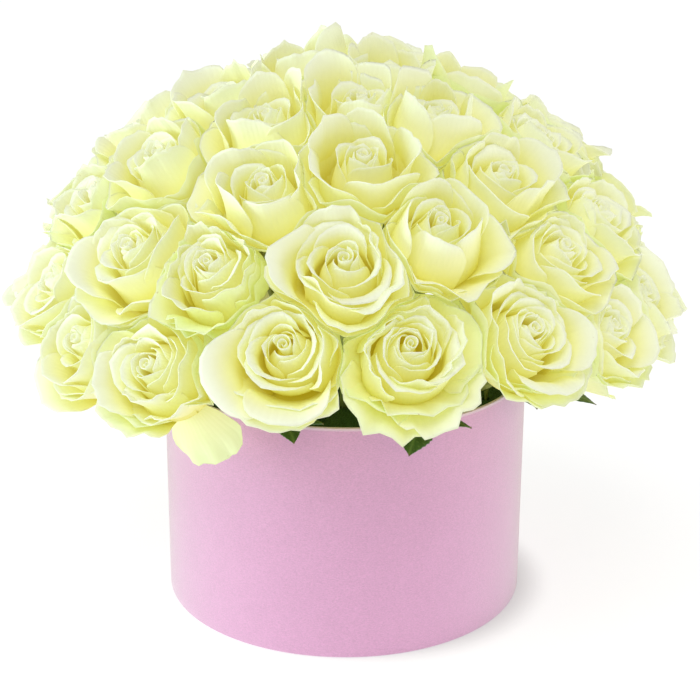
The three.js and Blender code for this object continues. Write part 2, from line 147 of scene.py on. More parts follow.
# Roses with looks of their own, by index: the radii of the heart's rings of rims in millimetres, the share of
# lime in the outer petals, how high the waves along their edges are, the size of the ring of guard petals
# against the usual one, and for some how far the guards stand up, how much longer they are towards the dome's
# top, and how much further out the outer petals lie below
LOOKS = {
    0: ((8, 14, 22), 0.6, 0.8, 0.84, {"low": -0.2}),
    1: ((10, 19, 25.5), 0.35, 0.5, 1.0, {"low": -0.12}),
    2: ((8, 11, 15, 25), 1.0, 1.2, 0.86, {"low": 0.08}),
    3: ((8, 12, 17, 24.5), 0.55, 0.8, 0.98, {"low": -0.08}),
    5: ((7, 12, 19), 1.1, 1.3, 0.84, {}),
    6: ((9, 20, 30), 0.35, 0.6, 1.05, {}),
    7: ((8, 16), 0.35, 0.3, 0.86, {"closed": 0.8}),
    8: ((9, 16, 25), 0.3, 0.4, 1.0, {}),
    9: ((9, 15, 23), 0.3, 0.4, 1.0, {}),
    10: ((9, 17), 0.15, 0.4, 0.96, {"closed": 0.3}),
    11: ((8, 15), 0.3, 0.4, 0.96, {"closed": 0.5}),
    12: ((9, 18), 0.4, 0.4, 0.98, {"closed": 0.3}),
    13: ((9, 19), 0.15, 0.3, 1.0, {"closed": 0.5}),
    14: ((8, 13, 20), 0.6, 0.7, 0.9, {"closed": 0.4}),
    15: ((8, 17), 0.3, 0.4, 0.95, {"closed": 0.6}),
    16: ((8, 15), 0.5, 0.5, 0.84, {"closed": 1.0}),
    22: ((9, 18), 0.4, 0.5, 0.95, {"closed": 1.2, "crest": 0.12}),
    23: ((8, 14), 0.6, 0.5, 0.9, {"closed": 1.0, "crest": 0.3}),
    25: ((8, 18), 0.3, 0.6, 1.0, {"closed": 0.6, "crest": 0.15}),
}
# The other roses: the least and the most of each quality with the number of its variation, and the rings of
# rims on a rose of USUAL_DIAMETER
USUAL_LOOKS = ((0.2, 0.9, 4), (0.3, 0.9, 5), (0.86, 1.0, 8))
USUAL_CLOSED = (0.5, 1.2, 7)
RING_SETS = [(8.5, 17, 25), (7, 11, 15.5, 26), (8, 19), (7.5, 12, 20)]
USUAL_DIAMETER = 75 * MM
BUD_RIM = 5.8 * MM


def lerp(low, high, share):
    return low + (high - low) * share


def circle(sides):
    """Angles spread evenly round a circle."""
    return np.arange(sides) / sides * 2 * np.pi


def grid(rows, columns, first=-1):
    """How far along a sheet its rows lie, and how far across it its columns lie."""
    return np.linspace(0, 1, rows)[:, None], np.linspace(first, 1, columns)[None, :]


def rising(x, low, high):
    """0 up to low, 1 from high on, and a smooth rise between them."""
    x = np.clip((x - low) / (high - low), 0, 1)
    return x * x * (3 - 2 * x)


def vary(i, k):
    """A steady variation from 0 to 1 for item i, different for each quality k."""
    wave = math.sin(i * 12.9898 + k * 78.233) * 43758.5453
    return wave - math.floor(wave)


def unit(vector):
    return vector / np.linalg.norm(vector)


def on_box(turn, radius, height):
    """A point at a turn round the box from the front, in degrees."""
    angle = math.radians(turn)
    return np.array([math.sin(angle) * radius, -math.cos(angle) * radius, height])


class Rose:
    """One bloom's place, its directions across the axis, its looks, and the contacts with its neighbours."""

    def __init__(self, index, turn, lift, diameter):
        self.index = index
        self.turn = turn
        self.lift = lift
        self.diameter = diameter
        self.contacts = []
        turn, lift = math.radians(turn), math.radians(lift)
        self.axis = on_box(self.turn, math.cos(lift), math.sin(lift))
        self.right = np.array([math.cos(turn), math.sin(turn), 0])
        self.up = np.cross(self.axis, self.right)
        self.neck = on_dome(self.axis) - self.axis * SIT_BACK
        self.middle = self.neck + self.axis * HEAD_MIDDLE
        self.spin = math.radians(GOLDEN_ANGLE * index)
        spread = (diameter - CLOSED_DIAMETER) / (OPEN_DIAMETER - CLOSED_DIAMETER)
        self.tall = lerp(*HEART_TALL, min(max(spread, 0), 1))
        if index in LOOKS:
            rings, *looks, more = LOOKS[index]
        else:
            usual = RING_SETS[int(vary(index, 3) * len(RING_SETS))]
            rings = [ring * diameter / USUAL_DIAMETER for ring in usual]
            looks = [self.usual(*limits) for limits in USUAL_LOOKS]
            more = {}
        self.rings = [BUD_RIM] + [ring * MM for ring in rings]
        self.green, self.frill, self.tight = looks
        closed = float(rising(self.lift, *CLOSED_LIFTS)) * self.usual(*USUAL_CLOSED)
        self.closed = more.get("closed", closed)
        self.crest = more.get("crest", float(rising(self.lift, *CREST_LIFTS)) * USUAL_CREST)
        self.low = more.get("low", 0)

    def usual(self, least, most, k):
        """A quality of a rose that has no looks of its own, from its variation number k."""
        return lerp(least, most, vary(self.index, k))

    def aside(self, angle):
        """The directions across the axis at angles round it."""
        a = np.asarray(angle)[..., None] + self.spin
        return np.cos(a) * self.right + np.sin(a) * self.up

    def place(self, angle, radius, height):
        """Points from their angle, radius and height on the rose, bent clear of its neighbours."""
        along = self.axis * np.asarray(height)[..., None]
        points = self.neck + along + self.aside(angle) * np.asarray(radius)[..., None]
        return pressed(points, self)

    def free_below(self, angle):
        """How free the space under a low rose is, 1 at most, at angles round its axis."""
        free = min(max((FREE_LIFT - self.lift) / FREE_RANGE, 0), 1)
        return free * np.maximum(0, -np.sin(angle + self.spin))

    def reach(self, angle, whorl, height):
        """How far petals with their rims at a height may reach at each angle before they meet a neighbour's.

        An even whorl rounds the corners off.
        """
        aside = self.aside(angle)
        rise = self.axis * (height - HEAD_MIDDLE)[..., None]
        half = self.diameter / 2
        rooms = [np.full(np.shape(angle), FAR_OUT * half)]
        for contact in self.contacts:
            approach = aside @ contact.across
            plane = contact.plane + contact.shift(rise + CONTACT_AT * half * aside)
            clear = plane - PRESSED_GAP + whorl.overreach - rise @ contact.across
            facing = approach > LEAST_APPROACH
            rooms.append(np.where(facing, clear / np.maximum(approach, LEAST_APPROACH), FAR_OUT * half))
        room = np.min(rooms, axis=0)
        free = self.free_below(angle)
        near = 1 - rising(room / half, *CORNER_FAR)
        corner = lerp(1, whorl.spread, near * (1 - rising(free, 0, FREE_EDGE)))
        size = lerp(1, self.tight, whorl.tightened) - CLOSED_PINCH * self.closed * whorl.even
        lower = (whorl.free_reach + (1 - whorl.tightened) * self.low) * free
        limit = half * (corner * size + lower)
        if whorl.even:
            return (np.array([*rooms, limit]) ** -EVENING).sum(0) ** (-1 / EVENING)
        return np.minimum(room, limit)


@dataclass
class Contact:
    """Where a rose meets a neighbour: a waved surface between the two."""

    across: np.ndarray  # from the rose to its neighbour
    plane: float  # how far the surface's middle plane is from the rose's middle
    outward: np.ndarray  # the direction in which both roses face
    beside: np.ndarray
    over: int  # 1 on the rose whose rims lie over the other's, and -1 on the other
    phase: float

    def shift(self, offset):
        """How far the surface lies past its middle plane, at offsets from the rose's middle."""
        height = offset @ self.outward - OVERLAP_MIDDLE
        wave = np.sin(offset @ self.beside * 2 * np.pi / CONTACT_WAVE_LENGTH + self.phase)
        return self.over * (OVERLAP * np.tanh(height / OVERLAP_BEND) + CONTACT_WAVE * wave)


def add_contact(rose, other, apart, phase):
    """Rims lie over those of a lower rose. Of two on one level, the draw says which lies over the other."""
    across = (other.middle - rose.middle) / apart
    plane = apart * rose.diameter / (rose.diameter + other.diameter)
    outward = rose.axis + other.axis
    outward = unit(outward - (outward @ across) * across)
    beside = np.cross(outward, across)
    drop = rose.middle[2] - other.middle[2]
    over = math.copysign(1, drop) if abs(drop) > LEVEL_APART else math.copysign(1, phase - 0.5)
    phase *= 2 * np.pi
    rose.contacts.append(Contact(across, plane, outward, beside, over, phase))
    other.contacts.append(Contact(-across, apart - plane, outward, beside, -over, phase))


def on_dome(direction):
    """Where a ray from the fan point leaves the dome."""
    half = np.array([DOME_WIDE, DOME_BACK if direction[1] > 0 else DOME_WIDE, DOME_HIGH])
    start = (FAN_POINT - np.array([0, 0, DOME_CENTRE])) / half
    step = direction / half
    a, b = step @ step, start @ step
    return FAN_POINT + direction * (-b + math.sqrt(b * b - a * (start @ start - 1))) / a


def all_roses():
    rows = list(FRONT_ROSES)
    found = 0
    for count, lift, first, last in BACK_ROWS:
        for i in range(count):
            share = i / (count - 1) if count > 1 else 0
            size = round(lerp(*BACK_DIAMETER, vary(found, 1)))
            uneven = BACK_UNEVEN * (2 * vary(found, 2) - 1)
            rows.append((lerp(first, last, share), lift + uneven, size))
            found += 1
    roses = [Rose(i, turn, lift, size * MM) for i, (turn, lift, size) in enumerate(rows)]
    for i, rose in enumerate(roses):
        for other in roses[:i]:
            apart = np.linalg.norm(other.middle - rose.middle)
            if apart <= rose.diameter + other.diameter:
                add_contact(rose, other, apart, vary(i, other.index))
    return roses


def pressed(points, rose):
    """Bends points of a rose clear of the surfaces between it and its neighbours."""
    room = PRESSED_ZONE - PRESSED_GAP
    for contact in rose.contacts:
        offset = points - rose.middle
        past = offset @ contact.across - contact.plane - contact.shift(offset)
        held = -PRESSED_GAP - room * np.exp(-(np.maximum(past, -PRESSED_ZONE) + PRESSED_ZONE) / room)
        move = np.where(past > -PRESSED_ZONE, held - past, 0)
        points = points + move[..., None] * contact.across
    return points


@dataclass
class Whorl:
    """A ring of like petals. Angles of lean are from the rose's axis, on a closed and on an open petal."""

    petals: int
    grid: tuple  # rows along the petal and columns across it
    root: tuple  # radius, and height above the top of the stem
    root_lean: tuple
    body_lean: tuple
    lip_lean: tuple
    upright_from: float
    roll_from: float
    widths: tuple  # half the width in degrees, at WIDTH_SHARES of the length
    overlap: float  # how far the one edge lies out over the next petal, and the other edge in under it
    corner: float  # share of the length by which the rim falls off to the sides
    thick: float
    rim: float = 0  # radius of the rim, 0 where it follows the room that the rose has
    top: float = 0  # height of the rim against the heart's
    length: float = 0
    frill: float = 0
    green: float = 0
    turned: float = 0  # turn of the first petal, as a share of the way to the next one
    spread: float = 1  # how far the petals grow into the corners between three roses
    even: bool = True  # whether the rims leave those corners round
    restless: tuple = (0, 0)  # how much less and how much more open single petals are
    flat_to: float = 0.2  # share of the length that stays flat at the root
    overreach: float = 0  # how much further than they have room for the petals push against a neighbour's
    free_reach: float = 0  # how much further the petals reach down where no rose is below them
    free_droop: float = 0  # how far they hang there
    tightened: float = 0  # how much a tight rose's guards are drawn in
    point: float = 0  # length of the pinched tip
    stretched: float = 0  # how much longer the petals are on a closed rose and towards the dome's top


WIDTH_SHARES = (0, 0.4, 0.74, 1)
PETAL_THICK = 0.7 * MM
GUARD = Whorl(
    5, (12, 21), (2.5 * MM, 3 * MM), (88, 89), (-8, 34), (25, 130), 0.5, 0.6, (28, 34, 50, 48), 3 * MM, 0.1,
    PETAL_THICK, length=54 * MM, frill=0.6, green=0.5, point=0.02, spread=1.08, restless=(-0.26, 0.04),
    tightened=1, stretched=1)
OUTER_GUARD = Whorl(
    5, (11, 21), (2.8 * MM, 2 * MM), (90, 92), (0, 60), (10, 80), 0.45, 0.66, (30, 38, 54, 52), 2.5 * MM, 0.1,
    PETAL_THICK, length=49 * MM, frill=1.3, green=1, turned=0.5, spread=1.6, restless=(-0.1, 0.08),
    overreach=3 * MM, even=False, free_reach=0.12, free_droop=0.2, stretched=0.5)
SKIRT = Whorl(
    5, (8, 15), (3 * MM, 0.5 * MM), (92, 98), (10, 86), (5, 30), 0.4, 0.7, (34, 44, 58, 56), 1.5 * MM, 0.06,
    PETAL_THICK, length=45 * MM, frill=1.5, green=1.1, turned=0.2, spread=1.8, overreach=6.5 * MM, even=False,
    free_reach=-0.15, free_droop=0.1)
# A petal that hangs from under a rose
HANGING = Whorl(
    1, (18, 23), (3 * MM, 2 * MM), (90, 92), (40, 50), (-20, -30), 0.4, 0.7, (26, 44, 46, 36), 2 * MM, 0.06,
    PETAL_THICK, length=47 * MM, frill=1.2, green=1.6)
# The heart's rings lie between a tight one at the eye and an open one as wide as the rose. Their petals'
# widths are those beyond an even share of the ring
TIGHT_RING = Whorl(
    3, (8, 12), (1.2 * MM, 8 * MM), (82, 86), (-30, 32), (6, 20), 0.5, 0.8, (0, 14, 24, 16), 1.1 * MM, 0.2,
    0.45 * MM, point=0.03, flat_to=0.02)
OPEN_RING = Whorl(
    3, (11, 16), (2.4 * MM, 4 * MM), (86, 86), (-30, 32), (70, 150), 0.5, 0.7, (0, 14, 24, 16), 3.2 * MM, 0.1,
    0.65 * MM, frill=0.5, green=0.3, point=0.03, flat_to=0.3)
FOUR_PETALS_FROM = 0.55
OPEN_RING_TOP = 0.93
SUNK_EYE = 0.1  # how far wide rings stay below the eye's height where the first ring is far from the eye
SUNK_RATIOS = (1.4, 2.0)
FIRST_TURN = 0.1
NEXT_TURN = 0.37


def between(low, high, share):
    """A whorl whose measures lie a share of the way from one whorl's to another's."""
    def part(a, b):
        if isinstance(a, tuple):
            return tuple(part(*pair) for pair in zip(a, b))
        return a if a == b else lerp(a, b, share)

    return Whorl(*(part(getattr(low, f.name), getattr(high, f.name)) for f in fields(Whorl)))


def heart_whorl(rose, k):
    """Ring number k from the eye. The wider it is, the more open its petals are and the more they roll."""
    rim = rose.rings[k]
    share = rim / (rose.diameter / 2)
    petals = 3 if share < FOUR_PETALS_FROM else 4
    ring = between(TIGHT_RING, OPEN_RING, share)
    sunk = SUNK_EYE * (1 - share) * rising(rose.rings[1] / rose.rings[0], *SUNK_RATIOS)
    return replace(
        ring, petals=petals, grid=tuple(round(count) for count in ring.grid), rim=rim,
        widths=tuple(180 / petals + beyond for beyond in ring.widths),
        top=lerp(1.0, OPEN_RING_TOP, share**2) * (1 - sunk), turned=FIRST_TURN + NEXT_TURN * k)


WIDEST_OPEN = 1.2
HALVINGS = 12
ROUNDS = 4  # of fitting a whorl whose room depends on the height of its rims
ROUND_STEP = 0.7
ROLL_POWER = 1.35
DROOP_ROOT_LEAN = 30
DROOP_BODY_LEAN = 105
DROOPING_LIP = 0.3
CURVE_STEPS = (np.arange(22) + 0.5) / 22
FIT_ANGLES = np.linspace(0, 2 * np.pi, 72, endpoint=False)


def petal_lean(whorl, share, opened, droop, curl):
    """A petal's lean from the rose's axis, from its root and body to its lip that rolls out."""
    root = lerp(*whorl.root_lean, opened) + DROOP_ROOT_LEAN * droop
    body = lerp(*whorl.body_lean, opened) + DROOP_BODY_LEAN * droop
    lip = lerp(*whorl.lip_lean, opened) * np.maximum(1 - droop, DROOPING_LIP) * curl
    roll = np.maximum(0, (share - whorl.roll_from) / (1 - whorl.roll_from)) ** ROLL_POWER
    bend = rising(share, whorl.flat_to, whorl.upright_from)
    return np.radians(lerp(root, body, bend) + lip * roll)


def petal_curve(whorl, share, opened, droop, curl=1.0):
    """How far out and up a petal of length 1 gets at a share of its length, and its lean there."""
    share, opened, droop, curl = np.broadcast_arrays(share, opened, droop, curl)
    steps = share[..., None] * CURVE_STEPS
    lean = petal_lean(whorl, steps, opened[..., None], droop[..., None], curl[..., None])
    out = share * np.sin(lean).mean(-1)
    up = share * np.cos(lean).mean(-1)
    return out, up, petal_lean(whorl, share, opened, droop, curl)


def open_to(whorl, droop, target, measure):
    """How far open petals are when their measure comes to a target, and how far out and up they then get."""
    low, high = np.zeros(len(FIT_ANGLES)), np.full(len(FIT_ANGLES), WIDEST_OPEN)
    for _ in range(HALVINGS):
        middle = (low + high) / 2
        out, up, _lean = petal_curve(whorl, 1.0, middle, droop)
        short = measure(out, up) < target
        low, high = np.where(short, middle, low), np.where(short, high, middle)
    out, up, _lean = petal_curve(whorl, 1.0, low, droop)
    return low, out, up


def fit_whorl(rose, whorl):
    """How far open, how long and how drooped the whorl's petals are at FIT_ANGLES, so that their rims fit."""
    droop = whorl.free_droop * rose.free_below(FIT_ANGLES)
    uphill = np.maximum(0, np.sin(FIT_ANGLES + rose.spin))
    longer = 1 + whorl.stretched * (LONGER_CLOSED * rose.closed + rose.crest * uphill)
    rim_height = np.full(len(FIT_ANGLES), LIP_HEIGHT)
    if whorl.length:
        length = whorl.length * longer
        for _ in range(1 if whorl.even else ROUNDS):
            target = rose.reach(FIT_ANGLES, whorl, rim_height) - whorl.root[0]
            opened, _out, up = open_to(whorl, droop, target, lambda out, up: out * length)
            rim_height = lerp(rim_height, whorl.root[1] + length * up, ROUND_STEP)
        return opened, length, droop
    half = rose.diameter / 2
    reach = rose.reach(FIT_ANGLES, whorl, rim_height)
    squeezed = whorl.rim * lerp(1, np.minimum(reach / half, 1), min(whorl.rim / half, 1))
    height = rose.tall * whorl.top - whorl.root[1]
    target = (squeezed - whorl.root[0]) / height
    opened, out, up = open_to(whorl, droop, target, lambda out, up: out / up)
    return opened, height * np.hypot(1, target) / np.hypot(out, up), droop


def add_object(name, data):
    """Puts an object into the scene."""
    made = bpy.data.objects.new(name, data)
    bpy.context.scene.collection.objects.link(made)
    return made


def add_mesh(name, points, faces, materials):
    """Puts a smooth-shaded mesh into the scene."""
    mesh = bpy.data.meshes.new(name)
    mesh.from_pydata(points.tolist(), [], faces)
    for material in materials:
        mesh.materials.append(material)
    mesh.shade_smooth()
    return add_object(name, mesh)


class Shells:
    """Gathers closed sheets and tubes into one mesh, with marks on their points for the material."""

    def __init__(self, marks):
        self.points, self.faces, self.slots, self.count = [], [], [], 0
        self.marks = {name: [] for name in marks}

    def _add(self, points, faces, slot, marks):
        points = points.reshape(-1, 3)
        self.points.append(points)
        self.faces.append(faces + self.count)
        self.slots.append(np.full(len(faces), slot))
        self.count += len(points)
        for name, values in self.marks.items():
            values.append(np.broadcast_to(marks.get(name, 0.0), points.shape[:1]))

    def sheet(self, outer, inner, slot=0, **marks):
        """A closed sheet between two grids of points. Marks are numbers or grids."""
        rows, columns = outer.shape[:2]
        front = np.arange(rows * columns).reshape(rows, columns)
        back = front + rows * columns

        def strip(a, b, c, d):
            return np.stack([a.ravel(), b.ravel(), c.ravel(), d.ravel()], 1)

        faces = np.concatenate([
            strip(front[:-1, :-1], front[:-1, 1:], front[1:, 1:], front[1:, :-1]),
            strip(back[:-1, :-1], back[1:, :-1], back[1:, 1:], back[:-1, 1:]),
            strip(front[0, 1:], front[0, :-1], back[0, :-1], back[0, 1:]),
            strip(front[-1, :-1], front[-1, 1:], back[-1, 1:], back[-1, :-1]),
            strip(front[:-1, 0], front[1:, 0], back[1:, 0], back[:-1, 0]),
            strip(front[1:, -1], front[:-1, -1], back[:-1, -1], back[1:, -1]),
        ])
        both = {}
        for name, value in marks.items():
            both[name] = np.tile(np.broadcast_to(value, (rows, columns)).ravel(), 2)
        both["outside"] = np.repeat([1.0, 0.0], rows * columns)
        self._add(np.stack([outer, inner]), faces, slot, both)

    def tube(self, rings, slot=0, **marks):
        """A closed tube through rings of points. Each end closes on its middle."""
        rings = np.stack([np.broadcast_to(rings[0].mean(0), rings[0].shape), *rings,
                          np.broadcast_to(rings[-1].mean(0), rings[-1].shape)])
        count, sides = rings.shape[:2]
        ids = np.arange(count * sides).reshape(count, sides)
        ids[0], ids[-1] = ids[0, 0], ids[-1, 0]
        nxt = np.roll(ids, -1, axis=1)
        faces = np.stack([ids[:-1], nxt[:-1], nxt[1:], ids[1:]], -1).reshape(-1, 4)
        self._add(rings, faces, slot, marks)

    def build(self, name, materials):
        points = np.concatenate(self.points)
        faces = np.concatenate(self.faces)
        slots = np.concatenate(self.slots)
        used = np.unique(faces)
        renumber = np.zeros(len(points), int)
        renumber[used] = np.arange(len(used))
        faces = renumber[faces]
        lists = [[v for k, v in enumerate(f) if v != f[k - 1]] for f in faces.tolist()]
        piece = add_mesh(name, points[used], lists, materials)
        mesh = piece.data
        mesh.polygons.foreach_set("material_index", slots.astype(np.int32))
        for mark, values in self.marks.items():
            attribute = mesh.attributes.new(mark, "FLOAT", "POINT")
            attribute.data.foreach_set("value", np.concatenate(values)[used].astype(np.float32))
        mesh.update()
        return piece


ROSE_MARKS = ("along", "across", "outside", "green", "tone")
# The roses nearest the front have the finest petals, and the others' grids are smaller by a share
NEAR_ROSES = 16
FAR_FINE = 0.9
ROW_POWER = 1.4  # above 1, the rows lie closer towards the rim
# A petal's outline: how its rim falls off to the sides, its round corners, half the width of its pinched tip,
# and the small bites along its rim with their two waves
FALL_POWER = 2.6
CORNER = 0.3
CORNER_POWER = 6
TIP_WIDE = 0.16
BITE = 0.024
BITE_WAVES = (5.3, 8.7)
# Where a petal's edge begins, how its overlap grows along it, and its wide buckles and fine ruffles
EDGE_AT = (0.45, 0.95)
OVERLAP_AT = (0, 0.4, 0.7, 1)
OVERLAP_GROWN = (0.1, 0.3, 1, 1)
BUCKLE = 0.5 * MM
BUCKLE_LENGTH = 1.3
RUFFLE = 1.3 * MM
RUFFLE_LENGTH = 1.5
# How much thinner a petal is at its rim, from a share of its length on, and at its sides
RIM_THIN = 0.5
THIN_FROM = 0.6
SIDE_THIN = 0.35
LEAST_RADIUS = 0.3 * MM
# The least and the most of what is drawn for each petal
CORNER_DRAW = (0.7, 1.3)
TIP_DRAW = (0, 2)
LENGTH_DRAW = (0.95, 1.02)
WIDTH_DRAW = (0.94, 1.06)
CURL_DRAW = (0.75, 1.2)
SIDE_CURL_DRAW = (0, 0.7)
BUCKLE_DRAW = (1, 2)
RUFFLE_DRAW = (3, 6)
GREEN_DRAW = (0.4, 1.2)
HANGING_CHANGE = 0.5  # how much greener a petal that hangs is, and how much paler towards its root


def add_petal(shells, rose, whorl, centre, fit, draw, hang=0.0):
    """One petal: a thin closed sheet with a rounded rim, a rolled lip and waves that grow to the edge."""
    fine = 1 if rose.index < NEAR_ROSES else FAR_FINE
    rows, columns = (round(fine * count) for count in whorl.grid)
    across = np.sin(np.linspace(-np.pi / 2, np.pi / 2, columns))[None, :]
    aside = np.abs(across)
    rise = 1 - (1 - np.linspace(0, 1, rows)[:, None]) ** ROW_POWER
    frill = whorl.frill * rose.frill
    waves = draw.uniform(0, 2 * np.pi, 4)
    bites = sum(0.5 * np.sin(count * across * np.pi + wave) for count, wave in zip(BITE_WAVES, waves))
    outline = 1 - whorl.corner * draw.uniform(*CORNER_DRAW) * aside**FALL_POWER + BITE * frill * bites
    outline = outline - CORNER * (1 - np.sqrt(1 - aside**CORNER_POWER))
    outline = outline + whorl.point * draw.uniform(*TIP_DRAW) * np.exp(-((across / TIP_WIDE) ** 2))
    share = rise * outline * draw.uniform(*LENGTH_DRAW)
    half = np.radians(np.interp(share, WIDTH_SHARES, whorl.widths)) * draw.uniform(*WIDTH_DRAW)
    angle = centre + across * half
    opened, length, droop = (np.interp(angle, FIT_ANGLES, part, period=2 * np.pi) for part in fit)
    opened = opened + draw.uniform(*whorl.restless)
    curl = draw.uniform(*CURL_DRAW) * (1 + draw.uniform(*SIDE_CURL_DRAW) * across**2)
    out, up, lean = petal_curve(whorl, share, opened, droop + hang, curl)
    edge = rising(share, *EDGE_AT)
    shift = whorl.overlap * across * np.interp(share, OVERLAP_AT, OVERLAP_GROWN)
    buckle = np.sin(draw.uniform(*BUCKLE_DRAW) * across * np.pi / BUCKLE_LENGTH + waves[2])
    ruffle = np.sin(draw.uniform(*RUFFLE_DRAW) * across * np.pi / RUFFLE_LENGTH + waves[3]) + 0.5 * bites
    shift = shift + edge * (BUCKLE * buckle * (1 + frill) + RUFFLE * frill * ruffle * edge)
    thinner = RIM_THIN * rising(share, THIN_FROM, 1)
    thin = whorl.thick / 2 * (1 - thinner) * (1 - SIDE_THIN * aside**4)
    sides = []
    for offset in (shift + thin, shift - thin):
        radius = whorl.root[0] + length * out + offset * np.cos(lean)
        height = whorl.root[1] + length * up - offset * np.sin(lean)
        sides.append(rose.place(angle, np.maximum(radius, LEAST_RADIUS), height))
    changed = HANGING_CHANGE * hang
    green = whorl.green * rose.green * draw.uniform(*GREEN_DRAW) + changed
    shells.sheet(*sides, along=lerp(share, 1, changed), across=across, green=green, tone=draw.uniform())


# The eye is a sheet wound into a spiral. It widens and its lip rises outwards, with small waves
EYE_GRID = (5, 34)
EYE_TURNS = 1.9
EYE_RADII = (0.5 * MM, 3.9 * MM)
EYE_POWER = 0.9
EYE_FLARE = (0.85, 1.05)
EYE_DEEP = 13 * MM
EYE_LIP = (0.93, 1)
EYE_WAVE = 0.012
EYE_WAVES = 31
EYE_THICK = 0.6 * MM
EYE_THIN = 0.4
EYE_ALONG = (0.45, 0.95)
# The closed core under the eye: heights against the heart's, and radii in millimetres
CORE = ((0.12, 3), (0.2, 6), (0.45, 6), (0.7, 3.5), (0.8, 1.5))
CORE_ALONG = 0.3
STEM_SIDES = 10


def add_eye(shells, rose, draw):
    """The rolled petals at the heart's middle, and the core under them."""
    rise, wound = grid(*EYE_GRID, first=0)
    angle = wound * EYE_TURNS * 2 * np.pi + draw.uniform(0, 2 * np.pi)
    size = rose.diameter / USUAL_DIAMETER
    radius = lerp(*EYE_RADII, wound**EYE_POWER) * lerp(*EYE_FLARE, rise) * size
    wave = EYE_WAVE * np.sin(wound * EYE_WAVES + draw.uniform(0, 6))
    height = rose.tall * (lerp(*EYE_LIP, wound) + wave) - EYE_DEEP * (1 - rise)
    thin = EYE_THICK / 2 * (1 - EYE_THIN * rise)
    sides = [rose.place(angle, radius + offset, height) for offset in (thin, -thin)]
    along = lerp(*EYE_ALONG, rise)
    shells.sheet(*sides, along=along, across=np.sin(angle), green=0.0, tone=draw.uniform())
    every = np.ones(STEM_SIDES)
    turn = circle(STEM_SIDES)
    rings = [rose.place(turn, wide * MM * every, height * rose.tall * every) for height, wide in CORE]
    shells.tube(rings, along=CORE_ALONG)


# How the stem's thickness varies at its knots, which are the first and last share of its length and their
# number, and the hip's heights above the stem's top and radii in millimetres
STEM_KNOTS = (0.25, 0.9, 4)
STEM_WOBBLE = 0.06
STEM_WAVE = 9
HIP = ((-2, 2.6), (0, 4.4), (3, 5.4), (5.5, 4.6))


def add_stem(shells, rose):
    """The stem down into the foam, and the swollen hip above it that carries the petals."""
    entry = on_box(rose.turn, ENTRY_SPREAD * (90 - rose.lift), FOAM_HIGH.z)
    down = unit(entry - rose.neck)
    end = entry + down * STEM_IN_FOAM
    aside = rose.aside(circle(STEM_SIDES))
    level = aside - np.outer(aside @ down, down)
    level /= np.linalg.norm(level, axis=1)[:, None]
    rings = [end + level * STEM_RADIUS]
    for share in np.linspace(*STEM_KNOTS):
        wobble = 1 + STEM_WOBBLE * math.sin(STEM_WAVE * share + rose.index)
        rings.append(lerp(end, rose.neck, share) + level * STEM_RADIUS * wobble)
    for height, wide in HIP:
        rings.append(rose.neck + rose.axis * height * MM + aside * wide * MM)
    shells.tube(rings, slot=1, tone=vary(rose.index, 6))


# Sepals: radius and height of their roots, how far they stand out and hang down, how they swing back, how
# cupped and thick they are, and what is drawn for each
SEPALS = 5
SEPAL_GRID = (9, 5)
SEPAL_HALF_WIDTH = 3.4 * MM
SEPAL_ROOT = (4 * MM, 0.5 * MM)
SEPAL_OUT = 7.75 * MM
SEPAL_DOWN = 7.5 * MM
SEPAL_SWING = 1.9
SEPAL_CUP = 0.8 * MM
SEPAL_THICK = 0.6 * MM
SEPAL_LOOSE = 0.15
SEPAL_BACK = (0.7, 1.3)


def add_sepals(shells, rose, draw):
    """Narrow sepals that fold back along the stem from under the petals."""
    rise, across = grid(*SEPAL_GRID)
    for i in range(SEPALS):
        centre = (i + draw.uniform(-SEPAL_LOOSE, SEPAL_LOOSE)) / SEPALS * 2 * np.pi
        back = draw.uniform(*SEPAL_BACK)
        width = SEPAL_HALF_WIDTH * np.sin(np.pi * lerp(0.12, 1, rise) ** 0.7) * (1 - rise**6)
        out = SEPAL_ROOT[0] + SEPAL_OUT * np.sin(rise * SEPAL_SWING * back) / back
        up = SEPAL_ROOT[1] - SEPAL_DOWN * rise**1.7 * back - SEPAL_CUP * across**2
        angle = centre + across * width / np.maximum(out, 3 * MM)
        sides = [rose.place(angle, out, up + offset) for offset in (-SEPAL_THICK / 2, SEPAL_THICK / 2)]
        shells.sheet(*sides, slot=1, along=rise, across=across, tone=draw.uniform())


ROSE_SEED = 1000
LOOSE = 0.12  # how far a petal may be from its even place, as a share of the way to the next one


def make_rose(rose, materials):
    draw = np.random.default_rng(ROSE_SEED + rose.index)
    shells = Shells(ROSE_MARKS)
    add_stem(shells, rose)
    add_sepals(shells, rose, draw)
    add_eye(shells, rose, draw)
    heart = [heart_whorl(rose, k) for k in range(len(rose.rings))]
    for whorl in [*heart, GUARD, OUTER_GUARD, SKIRT]:
        fit = fit_whorl(rose, whorl)
        loose = 0 if whorl is GUARD else LOOSE
        for i in range(whorl.petals):
            centre = (i + whorl.turned + draw.uniform(-loose, loose)) * 2 * np.pi / whorl.petals
            add_petal(shells, rose, whorl, centre, fit, draw)
    if rose.index in HANGING_PETALS:
        centre = math.radians(HANGING_PETALS[rose.index] - 90) - rose.spin
        add_petal(shells, rose, HANGING, centre, fit_whorl(rose, HANGING), draw, hang=1.0)
    name = f"rose_{rose.index + 1:02d}"
    piece = shells.build(name + "_bloom", materials)
    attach(piece, BODY)
    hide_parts(name)


